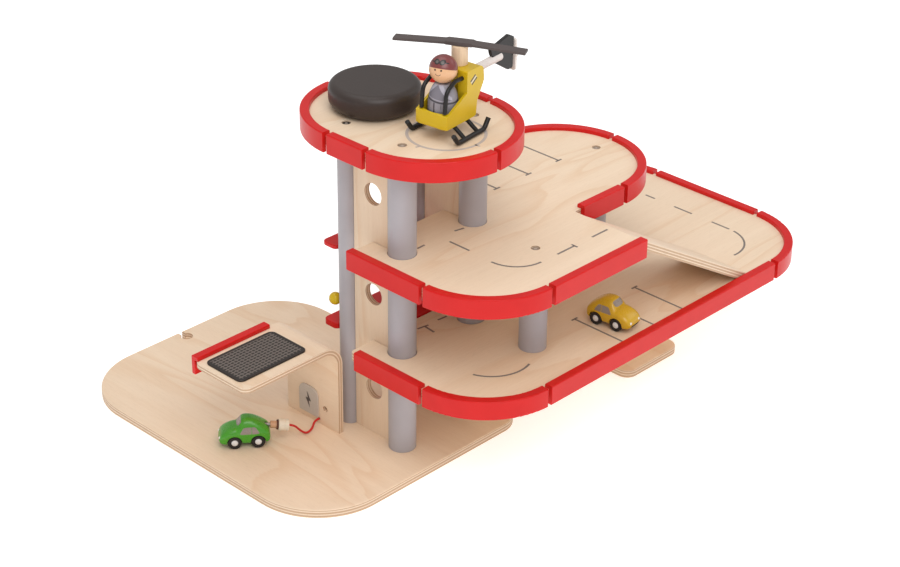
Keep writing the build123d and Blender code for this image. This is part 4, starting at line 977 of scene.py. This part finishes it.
class GARAGE_OT_cars(Step, bpy.types.Operator):
    """Green and yellow toy cars"""
    bl_idname = "garage.cars"
    bl_label = "Cars"

    def execute(self, context):
        c = settings().colours
        for name, shape, colour in (("green", GREEN_SHAPE, c.green), ("yellow", YELLOW_SHAPE, c.amber)):
            at, turn = CARS[name]
            self.body(name, shape, tuple(colour), at, turn)
            for end, x in (("front", AXLE_X), ("rear", -AXLE_X)):
                self.wheels(name, end, x, at, turn)
        return {"FINISHED"}

    def body(self, name, shape, colour, at, turn):
        """Shell and headlights, and on the yellow car a bumper line."""
        shell = moved(car_shell(shape), at, turn)
        piece = build(name + "_car", [shell], [car_paint(name, colour, at, turn)], name + "_car",
                      [name + "_car_body"], angle=50)
        self.cut_arches(piece, at, turn)
        nose = shape[-1, 0]
        lamps = [moved(ball((nose - 1.0, y, 10.6), (1.3, 1.5, 1.5), 20), at, turn) for y in (-6.6, 6.6)]
        build(name + "_headlights", lamps, [paint("lamp_white", (0.80, 0.78, 0.72), 0.2, 0.5)], name + "_car",
              slot="cream_wood")
        if name == "yellow":
            t = np.linspace(-0.95, 0.95, 24)
            bar = np.column_stack([nose - 0.35 - 2.2 * np.abs(t) ** 4, t * 9.6, np.full(24, 7.2)])
            build(name + "_bumper", [moved(tube_patch(bar, 0.55, 10), at, turn)],
                  [rubbery("bumper_black", (0.02, 0.018, 0.017))], name + "_car", slot="wheels")

    def cut_arches(self, piece, at, turn):
        """Wheel arches, and in the green car the charging socket, are cut out of the shell."""
        parts = []
        for x in (-AXLE_X, AXLE_X):
            for y0, y1 in ((6.2, 14.0), (-14.0, -6.2)):
                drum = lathe([(0, y0), (7.15, y0), (7.15, y1), (0, y1)], 48)
                parts.append(moved(drum, (x, 0, WHEEL_RADIUS), axis="Y"))
        if piece.name.startswith("green"):
            socket = lathe([(0, -24.0), (2.4, -24.0), (2.4, -13.2), (0, -13.2)], 24)
            parts.append(moved(socket, (0, 0, 18.3), axis="X"))
        parts = [moved(part, at, turn) for part in parts]
        cutter = build(piece.name + "_cutter", parts, [], node_body(piece.name + "_body"))
        cut = piece.modifiers.new("arches", "BOOLEAN")
        cut.operation, cut.solver, cut.object = "DIFFERENCE", "EXACT", cutter
        graph = bpy.context.evaluated_depsgraph_get()
        result = bpy.data.meshes.new_from_object(piece.evaluated_get(graph), preserve_all_data_layers=True,
                                                 depsgraph=graph)
        piece.modifiers.remove(cut)
        piece.data = result
        result.polygons.foreach_set("use_smooth", [True] * len(result.polygons))
        result.set_sharp_from_angle(angle=radians(50))
        bpy.data.objects.remove(cutter)

    def wheels(self, name, end, x, at, turn):
        """Two tyres with their hubs, and the axle between them; outlines are (radius, height) from a wheel's middle."""
        r, half, outer = WHEEL_RADIUS, 2.2, 11.3
        tyre = [(3.2, 0.5 - half), (3.6, -half), (r - 0.9, -half), (r - 0.25, 0.3 - half), (r, 0.95 - half), (r, 0.6),
                (r - 0.12, 0.8), (r, 1.0), (r, half - 0.95), (r - 0.25, half - 0.3), (r - 0.9, half), (3.7, half),
                (3.2, half - 0.6), (3.2, 0.5 - half)]
        hub = [(0, half + 0.35), (0.8, half + 0.3), (1.7, half + 0.1), (2.5, half - 0.15), (3.0, half - 0.5),
               (3.2, half - 0.9), (3.2, 0.5 - half), (0, 0.5 - half)]
        parts = [lathe([(0, -7.2), (1.5, -7.2), (1.5, 7.2), (0, 7.2)], 24, 2)]
        for side in (-1, 1):
            middle = side * (outer - half)
            rubber, cap = (lathe([(q, middle + side * h) for q, h in p], 48, m) for m, p in enumerate((tyre, hub)))
            parts += [(rubber[0], rubber[1][:-2], 0), cap]       # the tyre's outline is a closed one, without caps
        parts = [moved(moved(part, (x, 0, r), axis="Y"), at, turn) for part in parts]
        looks = [rubbery("tyre_black", (0.020, 0.016, 0.015), 0.5),
                 paint("hub_white", (0.78, 0.76, 0.74), 0.3, 0.3, 0.05),
                 rubbery("axle_steel", (0.5, 0.5, 0.5), 0.3, 1.0)]
        pair = "%s_%s_" % (name, end)
        build(pair + "wheel_pair", parts, looks, pair + "axle", [pair + "wheels"])


def rounded(u, v, power):
    """1 inside a square with rounded corners, which reaches from -1 to 1 both ways."""
    return (abs(u) ** power + abs(v) ** power).under(1.0, 0.2)


@finish_once
def car_paint(name, colour, at, turn):
    """Gloss paint with grey windows, drawn on the car's own axes."""
    f = Finish(name + "_car_paint", Coat_Weight=0.25, Coat_Roughness=0.12, Specular_IOR_Level=0.4)
    where = f.local(at, turn)
    x, y, z = f.split(where)
    cloud = f.noise(where, 0.12, 3)
    peel = f.noise(where, 1.4, 3)
    tone = f.mix(tuple(v * 0.86 for v in colour), tuple(min(1, v * 1.1) for v in colour), cloud)
    pillar = abs(x + 5.0).over(0.5, 0.3) * 0.5 + 0.5
    side = rounded((x + 3.2) / (9.6 - (z - 15.0) * 0.62), (z - 18.4) / 3.3, 6) * abs(y).over(7.2, 0.3) * pillar
    screen = rounded(y / 6.6, (z - 24.4) / 2.5, 4) * x.over(4.2, 0.3) * x.under(9.0, 0.3)
    tone = f.mix(tone, f.mix((0.235, 0.19, 0.165), (0.31, 0.255, 0.22), cloud), side | screen)
    return f.done(tone, peel * 0.08 + 0.24, peel * 0.3 - (side | screen) * 0.7, 0.0001, 0.6)


class GARAGE_PT_panel(bpy.types.Panel):
    """Sidebar panel with the garage's steps"""
    bl_idname = "GARAGE_PT_panel"
    bl_label = "Toy parking garage"
    bl_space_type = "VIEW_3D"
    bl_region_type = "UI"
    bl_category = "Garage"

    def draw(self, context):
        for group in (context.scene.toy_garage.colours, context.scene.toy_garage.sizes):
            for name in group.bl_rna.properties.keys():
                if name not in ("rna_type", "name"):
                    self.layout.prop(group, name)
        for step in STEPS:
            self.layout.operator(step.bl_idname)


STEPS = (GARAGE_OT_stage, GARAGE_OT_cord, GARAGE_OT_boards, GARAGE_OT_tower, GARAGE_OT_fences, GARAGE_OT_markings,
         GARAGE_OT_charging_bay, GARAGE_OT_lift, GARAGE_OT_helicopter, GARAGE_OT_pilot, GARAGE_OT_cars)
GROUPS = (GarageColours, GarageSizes, GarageSettings)


def register():
    """Registers the settings, the steps and the panel."""
    for cls in GROUPS + STEPS + (GARAGE_PT_panel,):
        bpy.utils.register_class(cls)
    bpy.types.Scene.toy_garage = PointerProperty(type=GarageSettings)


def unregister():
    """Takes them out again."""
    del bpy.types.Scene.toy_garage
    for cls in reversed(GROUPS + STEPS + (GARAGE_PT_panel,)):
        bpy.utils.unregister_class(cls)


def main():
    """Registers the garage's settings and steps, then makes every piece in order."""
    register()
    for step in STEPS:
        group, name = step.bl_idname.split(".")
        getattr(getattr(bpy.ops, group), name)()


if __name__ == "__main__":
    main()
